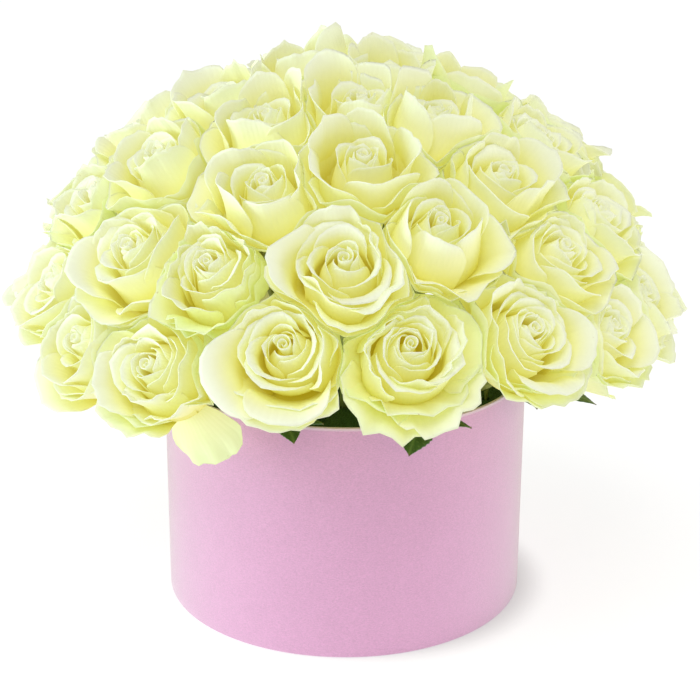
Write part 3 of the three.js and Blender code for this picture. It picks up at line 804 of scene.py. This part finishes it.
class Value:
    """A value in a finish. Arithmetic on it adds Math nodes."""

    def __init__(self, finish, socket):
        self.finish = finish
        self.socket = socket

    def _math(self, operation, *terms):
        return self.finish.node("ShaderNodeMath", {"operation": operation}, dict(enumerate(terms)))

    def __add__(self, other):
        return self._math("ADD", self, other)

    def __radd__(self, other):
        return self._math("ADD", other, self)

    def __sub__(self, other):
        return self._math("SUBTRACT", self, other)

    def __rsub__(self, other):
        return self._math("SUBTRACT", other, self)

    def __mul__(self, other):
        return self._math("MULTIPLY", self, other)

    def __rmul__(self, other):
        return self._math("MULTIPLY", other, self)


class Finish:
    """A procedural material or background, built up from values."""

    def __init__(self, name, kind="materials", shader="Principled BSDF", **constants):
        self.owner = getattr(bpy.data, kind).new(name)
        self.owner.use_nodes = True
        self.tree = self.owner.node_tree
        self.shader = self.tree.nodes[shader]
        for socket, value in constants.items():
            self.shader.inputs[socket.replace("_", " ")].default_value = value

    def node(self, kind, settings=None, sockets=None, output=0):
        """Adds a node, with its settings first and then the values or links of its sockets."""
        made = self.tree.nodes.new(kind)
        for name, value in (settings or {}).items():
            setattr(made, name, value)
        for name, value in (sockets or {}).items():
            self._feed(made.inputs[name], value)
        return Value(self, made.outputs[output])

    def _feed(self, socket, value):
        if isinstance(value, Value):
            self.tree.links.new(value.socket, socket)
        elif socket.type == "RGBA" and len(value) == 3:
            socket.default_value = (*value, 1)
        else:
            socket.default_value = value

    def mark(self, name):
        return self.node("ShaderNodeAttribute", {"attribute_name": name}, output="Fac")

    def place(self):
        return self.node("ShaderNodeTexCoord", output="Object")

    def noise(self, scale, detail, roughness, vector=None):
        sockets = {"Scale": scale, "Detail": detail, "Roughness": roughness, "Vector": vector or self.place()}
        return self.node("ShaderNodeTexNoise", {}, sockets, output="Fac")

    def ramp(self, value, low, high):
        """0 below low, 1 above high."""
        settings = {"interpolation_type": "SMOOTHSTEP"}
        return self.node("ShaderNodeMapRange", settings, {0: value, 1: low, 2: high})

    def mix(self, share, low, high, blend="MIX"):
        """A colour between two others. A Mix node's colour sockets are its seventh and eighth."""
        settings = {"data_type": "RGBA", "blend_type": blend}
        return self.node("ShaderNodeMix", settings, {0: share, 6: low, 7: high}, output=2)

    def bump(self, height, strength, distance):
        return self.node("ShaderNodeBump", {}, {"Height": height, "Strength": strength, "Distance": distance})

    def wear(self, **sockets):
        """Feeds values into the shader."""
        for name, value in sockets.items():
            self._feed(self.shader.inputs[name.replace("_", " ")], value)
        return self.owner


PALE_LIME = (0.70, 0.78, 0.42)
NICK = (0.42, 0.26, 0.08)
# The tint of the painted glow that the petals emit in place of light through them: at a petal's root and over
# the rest of it
ROOT_PAINTED_GLOW = (0.50, 0.45, 0.15)
BLADE_PAINTED_GLOW = (1.04, 1.0, 0.45)


def petal_finish(flowers):
    # The petals' emission is a painted glow, a stand-in for light that passes through them
    finish = Finish("rose_petal", Specular_IOR_Level=0.2, Emission_Strength=flowers.glow)
    along, across, outside, green, tone = (finish.mark(name) for name in ROSE_MARKS)
    blotch = finish.noise(90, 3, 0.6)
    # Partly painted shade: a petal's root has its own deep yellow, made darker to stand for the shade down in
    # the hollows
    colour = finish.mix(finish.ramp(along + 0.12 * (blotch - 0.5), 0.12, 0.54), flowers.deep, flowers.gold)
    colour = finish.mix(finish.ramp(along + 0.16 * (blotch - 0.5), 0.35, 0.8), colour, flowers.cream)
    colour = finish.mix(0.85 * finish.ramp(along, 0.76, 0.99), colour, flowers.rim)
    limed = green * (0.35 + 0.7 * outside + 0.5 * finish.ramp(along, 0.7, 1.0)) * (0.6 + 0.8 * blotch)
    colour = finish.mix(0.7 * finish.ramp(limed, 0.15, 1.0), colour, PALE_LIME)
    veins = finish.node("ShaderNodeMath", {"operation": "SINE"}, {0: across * 46 + 5 * blotch + along * 4})
    vein_mask = finish.ramp(veins, 0.55, 1.0) * finish.ramp(1 - along, 0.1, 0.7)
    colour = finish.mix(vein_mask * green * 0.3, colour, flowers.lime)
    colour = finish.mix(0.06 * tone, colour, flowers.lime)
    specks = finish.ramp(finish.noise(420, 2, 0.5), 0.7, 0.76) * finish.ramp(along, 0.9, 0.97) * green
    colour = finish.mix(0.7 * specks, colour, NICK)
    # Painted glow: each petal emits its own colour times this tint, dimmer and deeper at the root
    through = finish.mix(finish.ramp(along, 0.2, 0.75), ROOT_PAINTED_GLOW, BLADE_PAINTED_GLOW)
    glow = finish.mix(1.0, colour, through, "MULTIPLY")
    grain = finish.noise(900, 2, 0.5)
    height = 0.3 * veins * finish.ramp(along, 0.3, 0.9) + 0.4 * grain + 2 * blotch
    return finish.wear(Base_Color=colour, Emission_Color=glow, Roughness=0.56 + 0.12 * grain,
                       Normal=finish.bump(height, 0.25, 0.5 * MM))


STEM_DARK = (0.22, 0.31, 0.06)
STEM_PALE = (0.42, 0.48, 0.14)
STEM_TAN = (0.46, 0.38, 0.10)


def stem_finish():
    finish = Finish("rose_stem", Roughness=0.55, Specular_IOR_Level=0.4)
    blotch = finish.noise(260, 3, 0.6)
    colour = finish.mix(0.3 * finish.mark("tone"), finish.mix(blotch, STEM_DARK, STEM_PALE), STEM_TAN)
    return finish.wear(Base_Color=colour, Normal=finish.bump(blotch, 0.3, 0.4 * MM))


# A painted highlight along the paper's fold over the rim: its colour, and how far below the rim it begins and
# is complete
PAPER_RIM_HIGHLIGHT = (0.95, 0.72, 0.88)
RIM_HIGHLIGHT_FROM = 2.0 * MM
RIM_HIGHLIGHT_TO = 0.8 * MM
# How much paler and darker than the paper its grain is
PALER = 1.12
DARKER = 0.88


def paper_finish(settings):
    finish = Finish("pink_paper", Specular_IOR_Level=0.6, Sheen_Weight=1.0, Sheen_Roughness=0.5)
    grain = finish.noise(1500, 3, 0.65)
    mottle = finish.noise(60, 4, 0.6)
    fibre = finish.node("ShaderNodeMapping", {}, {"Vector": finish.place(), "Scale": (1.0, 1.0, 2.6)})
    fibres = finish.noise(700, 2, 0.5, fibre)
    pale = [min(1.0, PALER * part) for part in settings.paper]
    dark = [DARKER * part for part in settings.paper]
    colour = finish.mix(finish.ramp(0.5 * grain + 0.4 * fibres + 0.1 * mottle, 0.3, 0.7), dark, pale)
    level = finish.node("ShaderNodeSeparateXYZ", {}, {0: finish.place()}, output="Z")
    # Painted highlight: the paper turns paler towards the top of its fold over the rim
    fold = finish.ramp(level, settings.height - RIM_HIGHLIGHT_FROM, settings.height - RIM_HIGHLIGHT_TO)
    colour = finish.mix(0.9 * fold, colour, PAPER_RIM_HIGHLIGHT)
    return finish.wear(Base_Color=colour, Roughness=0.46 + 0.2 * grain,
                       Normal=finish.bump(grain + 0.6 * fibres, 0.5, 0.3 * MM))


FILM_DULL = (0.55, 0.57, 0.53)
FILM_PALE = (0.78, 0.80, 0.76)


def liner_finish():
    finish = Finish("liner_film", Roughness=0.35, Specular_IOR_Level=0.5)
    crease = finish.noise(55, 4, 0.6)
    colour = finish.mix(crease, FILM_DULL, FILM_PALE)
    return finish.wear(Base_Color=colour, Normal=finish.bump(crease, 0.5, 1.5 * MM))


FOAM_PIT = (0.012, 0.035, 0.012)
FOAM_GREEN = (0.05, 0.13, 0.05)
FOAM_WET = (0.02, 0.05, 0.02)


def foam_finish():
    finish = Finish("wet_foam", Specular_IOR_Level=0.35)
    sockets = {"Vector": finish.place(), "Scale": 900.0}
    cells = finish.node("ShaderNodeTexVoronoi", {}, sockets, output="Distance")
    patch = finish.noise(45, 3, 0.6)
    colour = finish.mix(0.5 * patch, finish.mix(finish.ramp(cells, 0.1, 0.6), FOAM_PIT, FOAM_GREEN), FOAM_WET)
    return finish.wear(Base_Color=colour, Roughness=0.65 + 0.3 * patch,
                       Normal=finish.bump(cells, 0.6, 0.6 * MM))


LEAF_DARK = (0.018, 0.060, 0.012)
LEAF_GREEN = (0.060, 0.150, 0.030)
LEAF_RIB = (0.20, 0.32, 0.10)
LEAF_BACK = (0.22, 0.36, 0.14)
LEAF_DRY = (0.20, 0.09, 0.03)


def leaf_finish():
    finish = Finish("rose_leaf", Specular_IOR_Level=0.5, Coat_Weight=0.1)
    rib = finish.mark("rib")
    blotch = finish.noise(120, 3, 0.6)
    colour = finish.mix(blotch, LEAF_DARK, LEAF_GREEN)
    colour = finish.mix(0.55 * rib, colour, LEAF_RIB)
    colour = finish.mix(0.45 * (1 - finish.mark("outside")), colour, LEAF_BACK)
    colour = finish.mix(0.7 * finish.ramp(finish.mark("along"), 0.93, 1.0), colour, LEAF_DRY)
    return finish.wear(Base_Color=colour, Roughness=0.36 + 0.2 * blotch,
                       Normal=finish.bump(finish.noise(700, 2, 0.5) + rib, 0.3, 0.3 * MM))


# A soft round painted shadow on the floor by the box's foot, to the right as in the photo: its middle, where
# it begins and ends against the box's radius, and how dark it is
PAINTED_SHADOW_MIDDLE = (14 * MM, -3 * MM, 0)
PAINTED_SHADOW_WITHIN = 18 * MM
PAINTED_SHADOW_BEYOND = 7 * MM
PAINTED_SHADOW_GREY = (0.54, 0.54, 0.54)
WHITE = (1.0, 1.0, 1.0)
FLOOR_GLOW = 0.71


def floor_finish(settings):
    finish = Finish("studio_floor", Roughness=0.9, Specular_IOR_Level=0.1, Emission_Strength=FLOOR_GLOW)
    shade = settings.floor_shade
    colour = finish.mix(finish.noise(8, 3, 0.5), [0.99 * part for part in shade], shade)
    # Painted shadow: the floor's glow turns grey towards the box's foot, to the right
    sockets = {0: finish.place(), 1: PAINTED_SHADOW_MIDDLE}
    apart = finish.node("ShaderNodeVectorMath", {"operation": "DISTANCE"}, sockets, output="Value")
    clear = finish.ramp(apart, WALL_HIGH.x - PAINTED_SHADOW_WITHIN, WALL_HIGH.x + PAINTED_SHADOW_BEYOND)
    return finish.wear(Base_Color=colour, Emission_Color=finish.mix(clear, PAINTED_SHADOW_GREY, WHITE))


ROUND_STEPS = 192


def turned_piece(name, profile, material, replaced, waver):
    """A round piece: a closed profile of radius and height turned about the box's axis."""
    profile = np.array(profile)
    turn = circle(ROUND_STEPS)
    radius = np.broadcast_to(profile[:, :1], (len(profile), ROUND_STEPS))
    height = np.broadcast_to(profile[:, 1:], (len(profile), ROUND_STEPS))
    radius, height = waver(radius, height, turn)
    points = np.stack([radius * np.sin(turn), -radius * np.cos(turn), height], -1)
    ids = np.arange(points.shape[0] * ROUND_STEPS).reshape(-1, ROUND_STEPS)
    above, beside = np.roll(ids, -1, axis=0), np.roll(ids, -1, axis=1)
    faces = np.stack([ids, beside, np.roll(above, -1, axis=1), above], -1).reshape(-1, 4)
    piece = add_mesh(name, points.reshape(-1, 3), faces.tolist(), [material])
    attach(piece, BODY)
    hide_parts(replaced)


def refinish(name, material):
    """Gives a piece of the frame that stays as it is a finish of its own."""
    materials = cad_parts[name].data.materials
    materials.clear()
    materials.append(material)


def arc(centre, radius, first, last, steps):
    """Points of a profile along an arc, from one angle to another in degrees."""
    angles = np.radians(np.linspace(first, last, steps))
    return [(centre[0] + radius * math.cos(a), centre[1] + radius * math.sin(a)) for a in angles]


def length_setting(name, description, default):
    return FloatProperty(name=name, description=description, default=default, unit="LENGTH")


def colour_setting(name, description, default):
    return FloatVectorProperty(name=name, description=description, default=default, subtype="COLOR")


class BoxSettings(bpy.types.PropertyGroup):
    radius: length_setting("Radius", "Outer radius of the box", WALL_HIGH.x)
    height: length_setting("Height", "Height of the box", WALL_HIGH.z)
    board: length_setting("Board", "Thickness of the card", 3 * MM)
    paper: colour_setting("Paper", "Colour of the paper cover", (0.72, 0.363, 0.588))


class FlowerSettings(bpy.types.PropertyGroup):
    # A petal root's own yellow, partly painted shade for the hollows between petals
    deep: colour_setting("Deep", "Colour of a petal's root", (0.71, 0.61, 0.03))
    gold: colour_setting("Gold", "Colour above the root", (0.785, 0.74, 0.22))
    cream: colour_setting("Cream", "Colour of the outer half", (0.772, 0.774, 0.492))
    rim: colour_setting("Rim", "Colour of a petal's edge", (0.77, 0.80, 0.75))
    lime: colour_setting("Lime", "Colour of the veins", (0.60, 0.74, 0.22))
    # Strength of the painted glow that the petals emit
    glow: FloatProperty(
        name="Glow", description="Strength of the light through petals", default=0.238, subtype="FACTOR")


class StudioSettings(bpy.types.PropertyGroup):
    lens: FloatProperty(
        name="Lens", description="Focal length of the camera", default=90.0, unit="CAMERA")
    distance: length_setting("Distance", "From the box's axis to the camera", 0.912)
    camera_height: length_setting("Camera height", "Above the floor", 0.461)
    pitch: FloatProperty(
        name="Pitch", description="Downward view", default=math.radians(19.6), subtype="ANGLE")
    floor_shade: colour_setting("Floor", "Colour of the floor", (0.4, 0.4, 0.4))


CAMERA_ASIDE = 2.7 * MM
CAMERA_ROLL = math.radians(0.3)
SENSOR = 36.0
FLOOR_RADIUS = 40.0  # metres
FLOOR_SIDES = 96
FLOOR_HEIGHT = -0.2 * MM
AMBIENT = 0.555
# Lights: name, kind, place in metres, power, colour, and the size of its face or the angle that it fills
LIGHTS = (
    ("key", "AREA", (-1.35, -0.35, 0.25), 10.5, (0.78, 1.0, 0.96), {"size": 0.9}),
    ("rim", "AREA", (1.4, -0.2, 0.25), 4.5, WHITE, {"size": 0.8}),
    ("sky", "SUN", (-0.35, -0.85, 1.6), 0.85, WHITE, {"angle": math.radians(40)}),
)


def surroundings():
    """Soft even light from all round, and a plain white background behind the floor."""
    finish = Finish("studio", "worlds", "Background", Color=(*WHITE, 1))
    seen = finish.node("ShaderNodeLightPath", output="Is Camera Ray")
    return finish.wear(Strength=finish.node("ShaderNodeMapRange", {}, {"Value": seen, "To Min": AMBIENT}))


def add_light(name, kind, place, power, colour, shape):
    """A light that faces the middle of the box's rim, and that the camera doesn't see."""
    data = bpy.data.lights.new(name, kind)
    data.energy = power
    data.color = colour
    for setting, value in shape.items():
        setattr(data, setting, value)
    lamp = add_object(name, data)
    lamp.location = place
    lamp.visible_camera = False
    aim = Vector((0, 0, WALL_HIGH.z)) - lamp.location
    lamp.rotation_euler = aim.to_track_quat("-Z", "Y").to_euler()


class HATBOX_OT_studio(bpy.types.Operator):
    """Sets up the camera, the lights and the floor"""

    bl_idname = "hatbox.studio"
    bl_label = "Studio"

    def execute(self, context):
        settings = context.scene.studio
        camera_data = bpy.data.cameras.new("camera")
        camera_data.lens = settings.lens
        camera_data.sensor_width = SENSOR
        camera = add_object("camera", camera_data)
        place = Matrix.Translation((CAMERA_ASIDE, -settings.distance, settings.camera_height))
        tilt = Matrix.Rotation(math.pi / 2 - settings.pitch, 4, "X")
        camera.matrix_world = place @ tilt @ Matrix.Rotation(CAMERA_ROLL, 4, "Z")
        context.scene.camera = camera
        context.scene.view_settings.view_transform = "Standard"
        bpy.ops.mesh.primitive_circle_add(vertices=FLOOR_SIDES, radius=FLOOR_RADIUS, fill_type="NGON",
                                          location=(0, 0, FLOOR_HEIGHT))
        floor = context.active_object
        floor.name = "studio_floor"
        floor.data.materials.append(floor_finish(settings))
        context.scene.world = surroundings()
        for row in LIGHTS:
            add_light(*row)
        return {"FINISHED"}


# Heights of the wall's rings against the box's height, outside from the foot up and inside from the rim down
OUTSIDE_RINGS = (0.06, 0.2, 0.4, 0.6, 0.8, 0.94, 0.985)
INSIDE_RINGS = (0.97, 0.9, 0.6, 0.3, 0.02)
FOOT_ROUND = 0.8 * MM
INSIDE_ROUND = 0.6 * MM
PAPER_THICK = 0.25 * MM
SEAM_EDGE = (9 * MM, 10.2 * MM)
OUTSIDE_DEPTH = 0.5 * MM  # what lies no deeper than this counts as outside
FILM_THICK = 0.9 * MM
FILM_BEND = 3 * MM
FILM_MIDDLE = 0.5 * MM
FILM_RINGS = (0.2, 0.4, 0.6, 0.8, 0.9)
FILM_FREE = (-4 * MM, 2 * MM)  # heights against the foam's top between which the film comes free of it
FILM_LEAN = 0.2 * MM
# Waves along the film's edge: their height, how many go round it, and the phase
FILM_WAVES = ((0.12 * MM, 17, 0), (0.08 * MM, 29, 1))


class HATBOX_OT_box(bpy.types.Operator):
    """Makes the paper-covered wall and finishes the base"""

    bl_idname = "hatbox.box"
    bl_label = "Paper box"

    def execute(self, context):
        settings = context.scene.hat_box
        paper = paper_finish(settings)
        outer, inner, high = settings.radius, settings.radius - settings.board, settings.height
        fold = settings.board / 2
        profile = [
            *arc((outer - FOOT_ROUND, FOOT_ROUND), FOOT_ROUND, -90, 0, 5),
            *[(outer, share * high) for share in OUTSIDE_RINGS],
            *arc((outer - fold, high - fold), fold, 0, 180, 12),
            *[(inner, share * high) for share in INSIDE_RINGS],
            *arc((inner + INSIDE_ROUND, INSIDE_ROUND), INSIDE_ROUND, 180, 270, 4),
        ]
        turned_piece("hat_box_paper_wall", profile, paper, "hat_box_wall", self.seam)
        refinish("hat_box_base", paper)
        return {"FINISHED"}

    def seam(self, radius, height, turn):
        """The cover's ends overlap at the back, where it is a paper's thickness prouder."""
        behind = np.abs((turn / np.pi) - 1) * math.pi * WALL_HIGH.x
        proud = PAPER_THICK * (1 - rising(behind, *SEAM_EDGE))
        outside = radius > WALL_HIGH.x - OUTSIDE_DEPTH
        return radius + np.where(outside, proud - PAPER_THICK, 0), height


class HATBOX_OT_filling(bpy.types.Operator):
    """Makes the water liner and finishes the floral foam"""

    bl_idname = "hatbox.filling"
    bl_label = "Liner and foam"

    def execute(self, context):
        outer, top, foot = LINER_HIGH.x, LINER_HIGH.z, LINER_LOW.z
        lip = FILM_THICK / 2
        levels = [lerp(foot + FILM_BEND, top, share) for share in FILM_RINGS]
        profile = [
            (FILM_MIDDLE, foot),
            *arc((outer - FILM_BEND, foot + FILM_BEND), FILM_BEND, -90, 0, 6),
            *[(outer, level) for level in levels],
            *arc((outer - lip, top - lip), lip, 0, 180, 6),
            *[(outer - FILM_THICK, level) for level in reversed(levels)],
            *arc((outer - FILM_BEND, foot + FILM_BEND), FILM_BEND - FILM_THICK, 0, -90, 6),
            (FILM_MIDDLE, foot + FILM_THICK),
        ]
        turned_piece("liner_film_cup", profile, liner_finish(), "water_liner", self.wrinkle)
        refinish("floral_foam", foam_finish())
        return {"FINISHED"}

    def wrinkle(self, radius, height, turn):
        """The film's edge waves a little where it stands above the foam."""
        free = rising(height - FOAM_HIGH.z, *FILM_FREE)
        wave = sum(size * np.sin(count * turn + phase) for size, count, phase in FILM_WAVES)
        return radius + free * wave - FILM_LEAN * free, height + free * 3 * wave


class HATBOX_OT_roses(bpy.types.Operator):
    """Makes every rose, with its petals, sepals and stem"""

    bl_idname = "hatbox.roses"
    bl_label = "Roses"

    def execute(self, context):
        materials = [petal_finish(context.scene.flowers), stem_finish()]
        for rose in all_roses():
            make_rose(rose, materials)
        return {"FINISHED"}


# Leaf sprays: turn round the box, swing of the left, the end and the right leaflet, length of the end leaflet
# in millimetres, and how far its tip hangs down
LEAF_SPRAYS = [
    (20, -80, -34, 52, 31, 6),
    (61, -50, 8, 56, 34, 6),
    (-15, -16, 30, 84, 20, 3),
    (131, -62, 8, 60, 44, 6),
    (233, -60, -6, 66, 42, 7),
]
LEAF_SEED = 5000
# A stalk's foot in the foam, and the start, the top and the end of its arch over the rim: radius and height
STALK_FOOT = (86 * MM, 98 * MM)
STALK_ARCH = ((86 * MM, 128 * MM), (88 * MM, 142 * MM), (114 * MM, 136.5 * MM))
STALK_RADIUS = 1.3 * MM
STALK_TAPER = 0.7
STALK_SIDES = 8
STALK_KNOTS = 9
# Where the leaflets sit on the arch, and how much shorter and less drooping the side ones are
LEAFLET_SPLIT = 0.82
LEAFLET_END = 0.98
SIDE_LEAFLET = 0.92
SIDE_FALL = 0.7
# A leaflet's blade: outline and teeth, midrib and veins, puffed fields, curled edges and thickness
LEAFLET_GRID = (34, 13)
LEAFLET_WIDE = 0.3
LEAFLET_ARCH = 0.06
LEAFLET_TEETH = 11
TOOTH_DEEP = 0.13
RIB_WIDE = 0.7 * MM
SIDE_VEINS = 7
VEIN_SLANT = 0.28
VEIN_FROM = 0.72
VEIN_DEEP = 0.7
PUFF = 0.5 * MM
CURL = (-0.5 * MM, 0.8 * MM)
EDGE_WAVE = 0.5 * MM
BLADE_THIN = 0.28 * MM
RIB_THICK = 0.4 * MM
RIB_SPREAD = 1.1 * MM
TIP_THIN = 0.7


def add_leaflet(shells, base, heading, length, fall, draw):
    """A toothed blade with a sunk midrib and side veins, thickest along the midrib."""
    share, across = grid(*LEAFLET_GRID)
    side = np.array([-heading[1], heading[0], 0])
    tooth = (share * LEAFLET_TEETH) % 1.0
    half = LEAFLET_WIDE * length * np.sin(np.pi * share**0.8) * (1 - TOOTH_DEEP * (1 - tooth))
    out = half * across
    vein = np.abs(((share - VEIN_SLANT * np.abs(across)) * SIDE_VEINS) % 1.0 - 0.5) * 2
    veined = VEIN_DEEP * rising(vein, VEIN_FROM, 1)
    rib = np.maximum(np.exp(-((out / RIB_WIDE) ** 2)), veined)
    puff = PUFF * (1 - rib) * np.sin(np.pi * share) * (1 - np.abs(across) ** 3)
    curl = draw.uniform(*CURL) * across * share
    curl = curl + EDGE_WAVE * np.sin(5 * share + draw.uniform(0, 6)) * across**2
    height = puff + curl - fall * share**2 - LEAFLET_ARCH * np.abs(out)
    middle = base + heading * (share * length)[..., None] + side * out[..., None]
    thick = (BLADE_THIN + RIB_THICK * np.exp(-((out / RIB_SPREAD) ** 2))) * (1 - TIP_THIN * share**3)
    up = np.array([0, 0, 1.0])
    sides = [middle + up * (height + offset)[..., None] for offset in (thick, -thick)]
    shells.sheet(*sides, along=share, rib=rib)


def on_arch(turn, share):
    """A point of a stalk's arch, a curve between its two ends that a third point pulls up."""
    start, top, end = (on_box(turn, *point) for point in STALK_ARCH)
    return start * (1 - share) ** 2 + top * 2 * share * (1 - share) + end * share * share


def add_stalk(shells, turn):
    """A round stalk from the foam up and over the rim, thinner towards its end."""
    foot, start = on_box(turn, *STALK_FOOT), on_arch(turn, 0)
    points = [foot, (foot + start) / 2, *(on_arch(turn, share) for share in np.linspace(0, 1, STALK_KNOTS))]
    angles = circle(STALK_SIDES)
    rings = []
    for i, point in enumerate(points):
        ahead = points[min(i + 1, len(points) - 1)] - points[max(i - 1, 0)]
        level = unit(np.cross(ahead, (0.0, 0.0, 1.0)) + np.array([1e-6, 0, 0]))
        other = unit(np.cross(level, ahead))
        wide = STALK_RADIUS * lerp(1, STALK_TAPER, i / (len(points) - 1))
        rings.append(point + wide * (np.outer(np.cos(angles), other) + np.outer(np.sin(angles), level)))
    shells.tube(rings, slot=1, tone=0.3)


class HATBOX_OT_leaves(bpy.types.Operator):
    """Makes the sprays of rose leaves at the rim"""

    bl_idname = "hatbox.leaves"
    bl_label = "Leaves"

    def execute(self, context):
        materials = [leaf_finish(), bpy.data.materials["rose_stem"]]
        for index, (turn, left, end, right, length, fall) in enumerate(LEAF_SPRAYS):
            draw = np.random.default_rng(LEAF_SEED + index)
            shells = Shells(("along", "outside", "rib", "tone"))
            add_stalk(shells, turn)
            for swing, at, size, drop in (
                (end, LEAFLET_END, 1, 1),
                (left, LEAFLET_SPLIT, SIDE_LEAFLET, SIDE_FALL),
                (right, LEAFLET_SPLIT, SIDE_LEAFLET, SIDE_FALL),
            ):
                heading = on_box(turn + swing, 1, 0)
                add_leaflet(shells, on_arch(turn, at), heading, length * size * MM, fall * drop * MM, draw)
            name = f"leaf_spray_{index + 1}"
            piece = shells.build(name + "_leaves", materials)
            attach(piece, BODY)
            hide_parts(name)
        return {"FINISHED"}


class HATBOX_PT_panel(bpy.types.Panel):
    """Lists the steps in the order in which they are run"""

    bl_label = "Flower Hat Box"
    bl_idname = "HATBOX_PT_panel"
    bl_space_type = "VIEW_3D"
    bl_region_type = "UI"
    bl_category = "Flower Box"

    def draw(self, context):
        for operator in OPERATORS:
            self.layout.operator(operator.bl_idname)
        for settings in (context.scene.hat_box, context.scene.flowers, context.scene.studio):
            for name in settings.__annotations__:
                self.layout.prop(settings, name)


OPERATORS = (HATBOX_OT_studio, HATBOX_OT_box, HATBOX_OT_filling, HATBOX_OT_roses, HATBOX_OT_leaves)
CLASSES = (BoxSettings, FlowerSettings, StudioSettings, *OPERATORS, HATBOX_PT_panel)


def register():
    for item in CLASSES:
        bpy.utils.register_class(item)
    bpy.types.Scene.hat_box = PointerProperty(type=BoxSettings)
    bpy.types.Scene.flowers = PointerProperty(type=FlowerSettings)
    bpy.types.Scene.studio = PointerProperty(type=StudioSettings)


def unregister():
    del bpy.types.Scene.studio
    del bpy.types.Scene.flowers
    del bpy.types.Scene.hat_box
    for item in reversed(CLASSES):
        bpy.utils.unregister_class(item)


def main():
    register()
    bpy.ops.hatbox.studio()
    bpy.ops.hatbox.box()
    bpy.ops.hatbox.filling()
    bpy.ops.hatbox.roses()
    bpy.ops.hatbox.leaves()


if __name__ == "__main__":
    main()
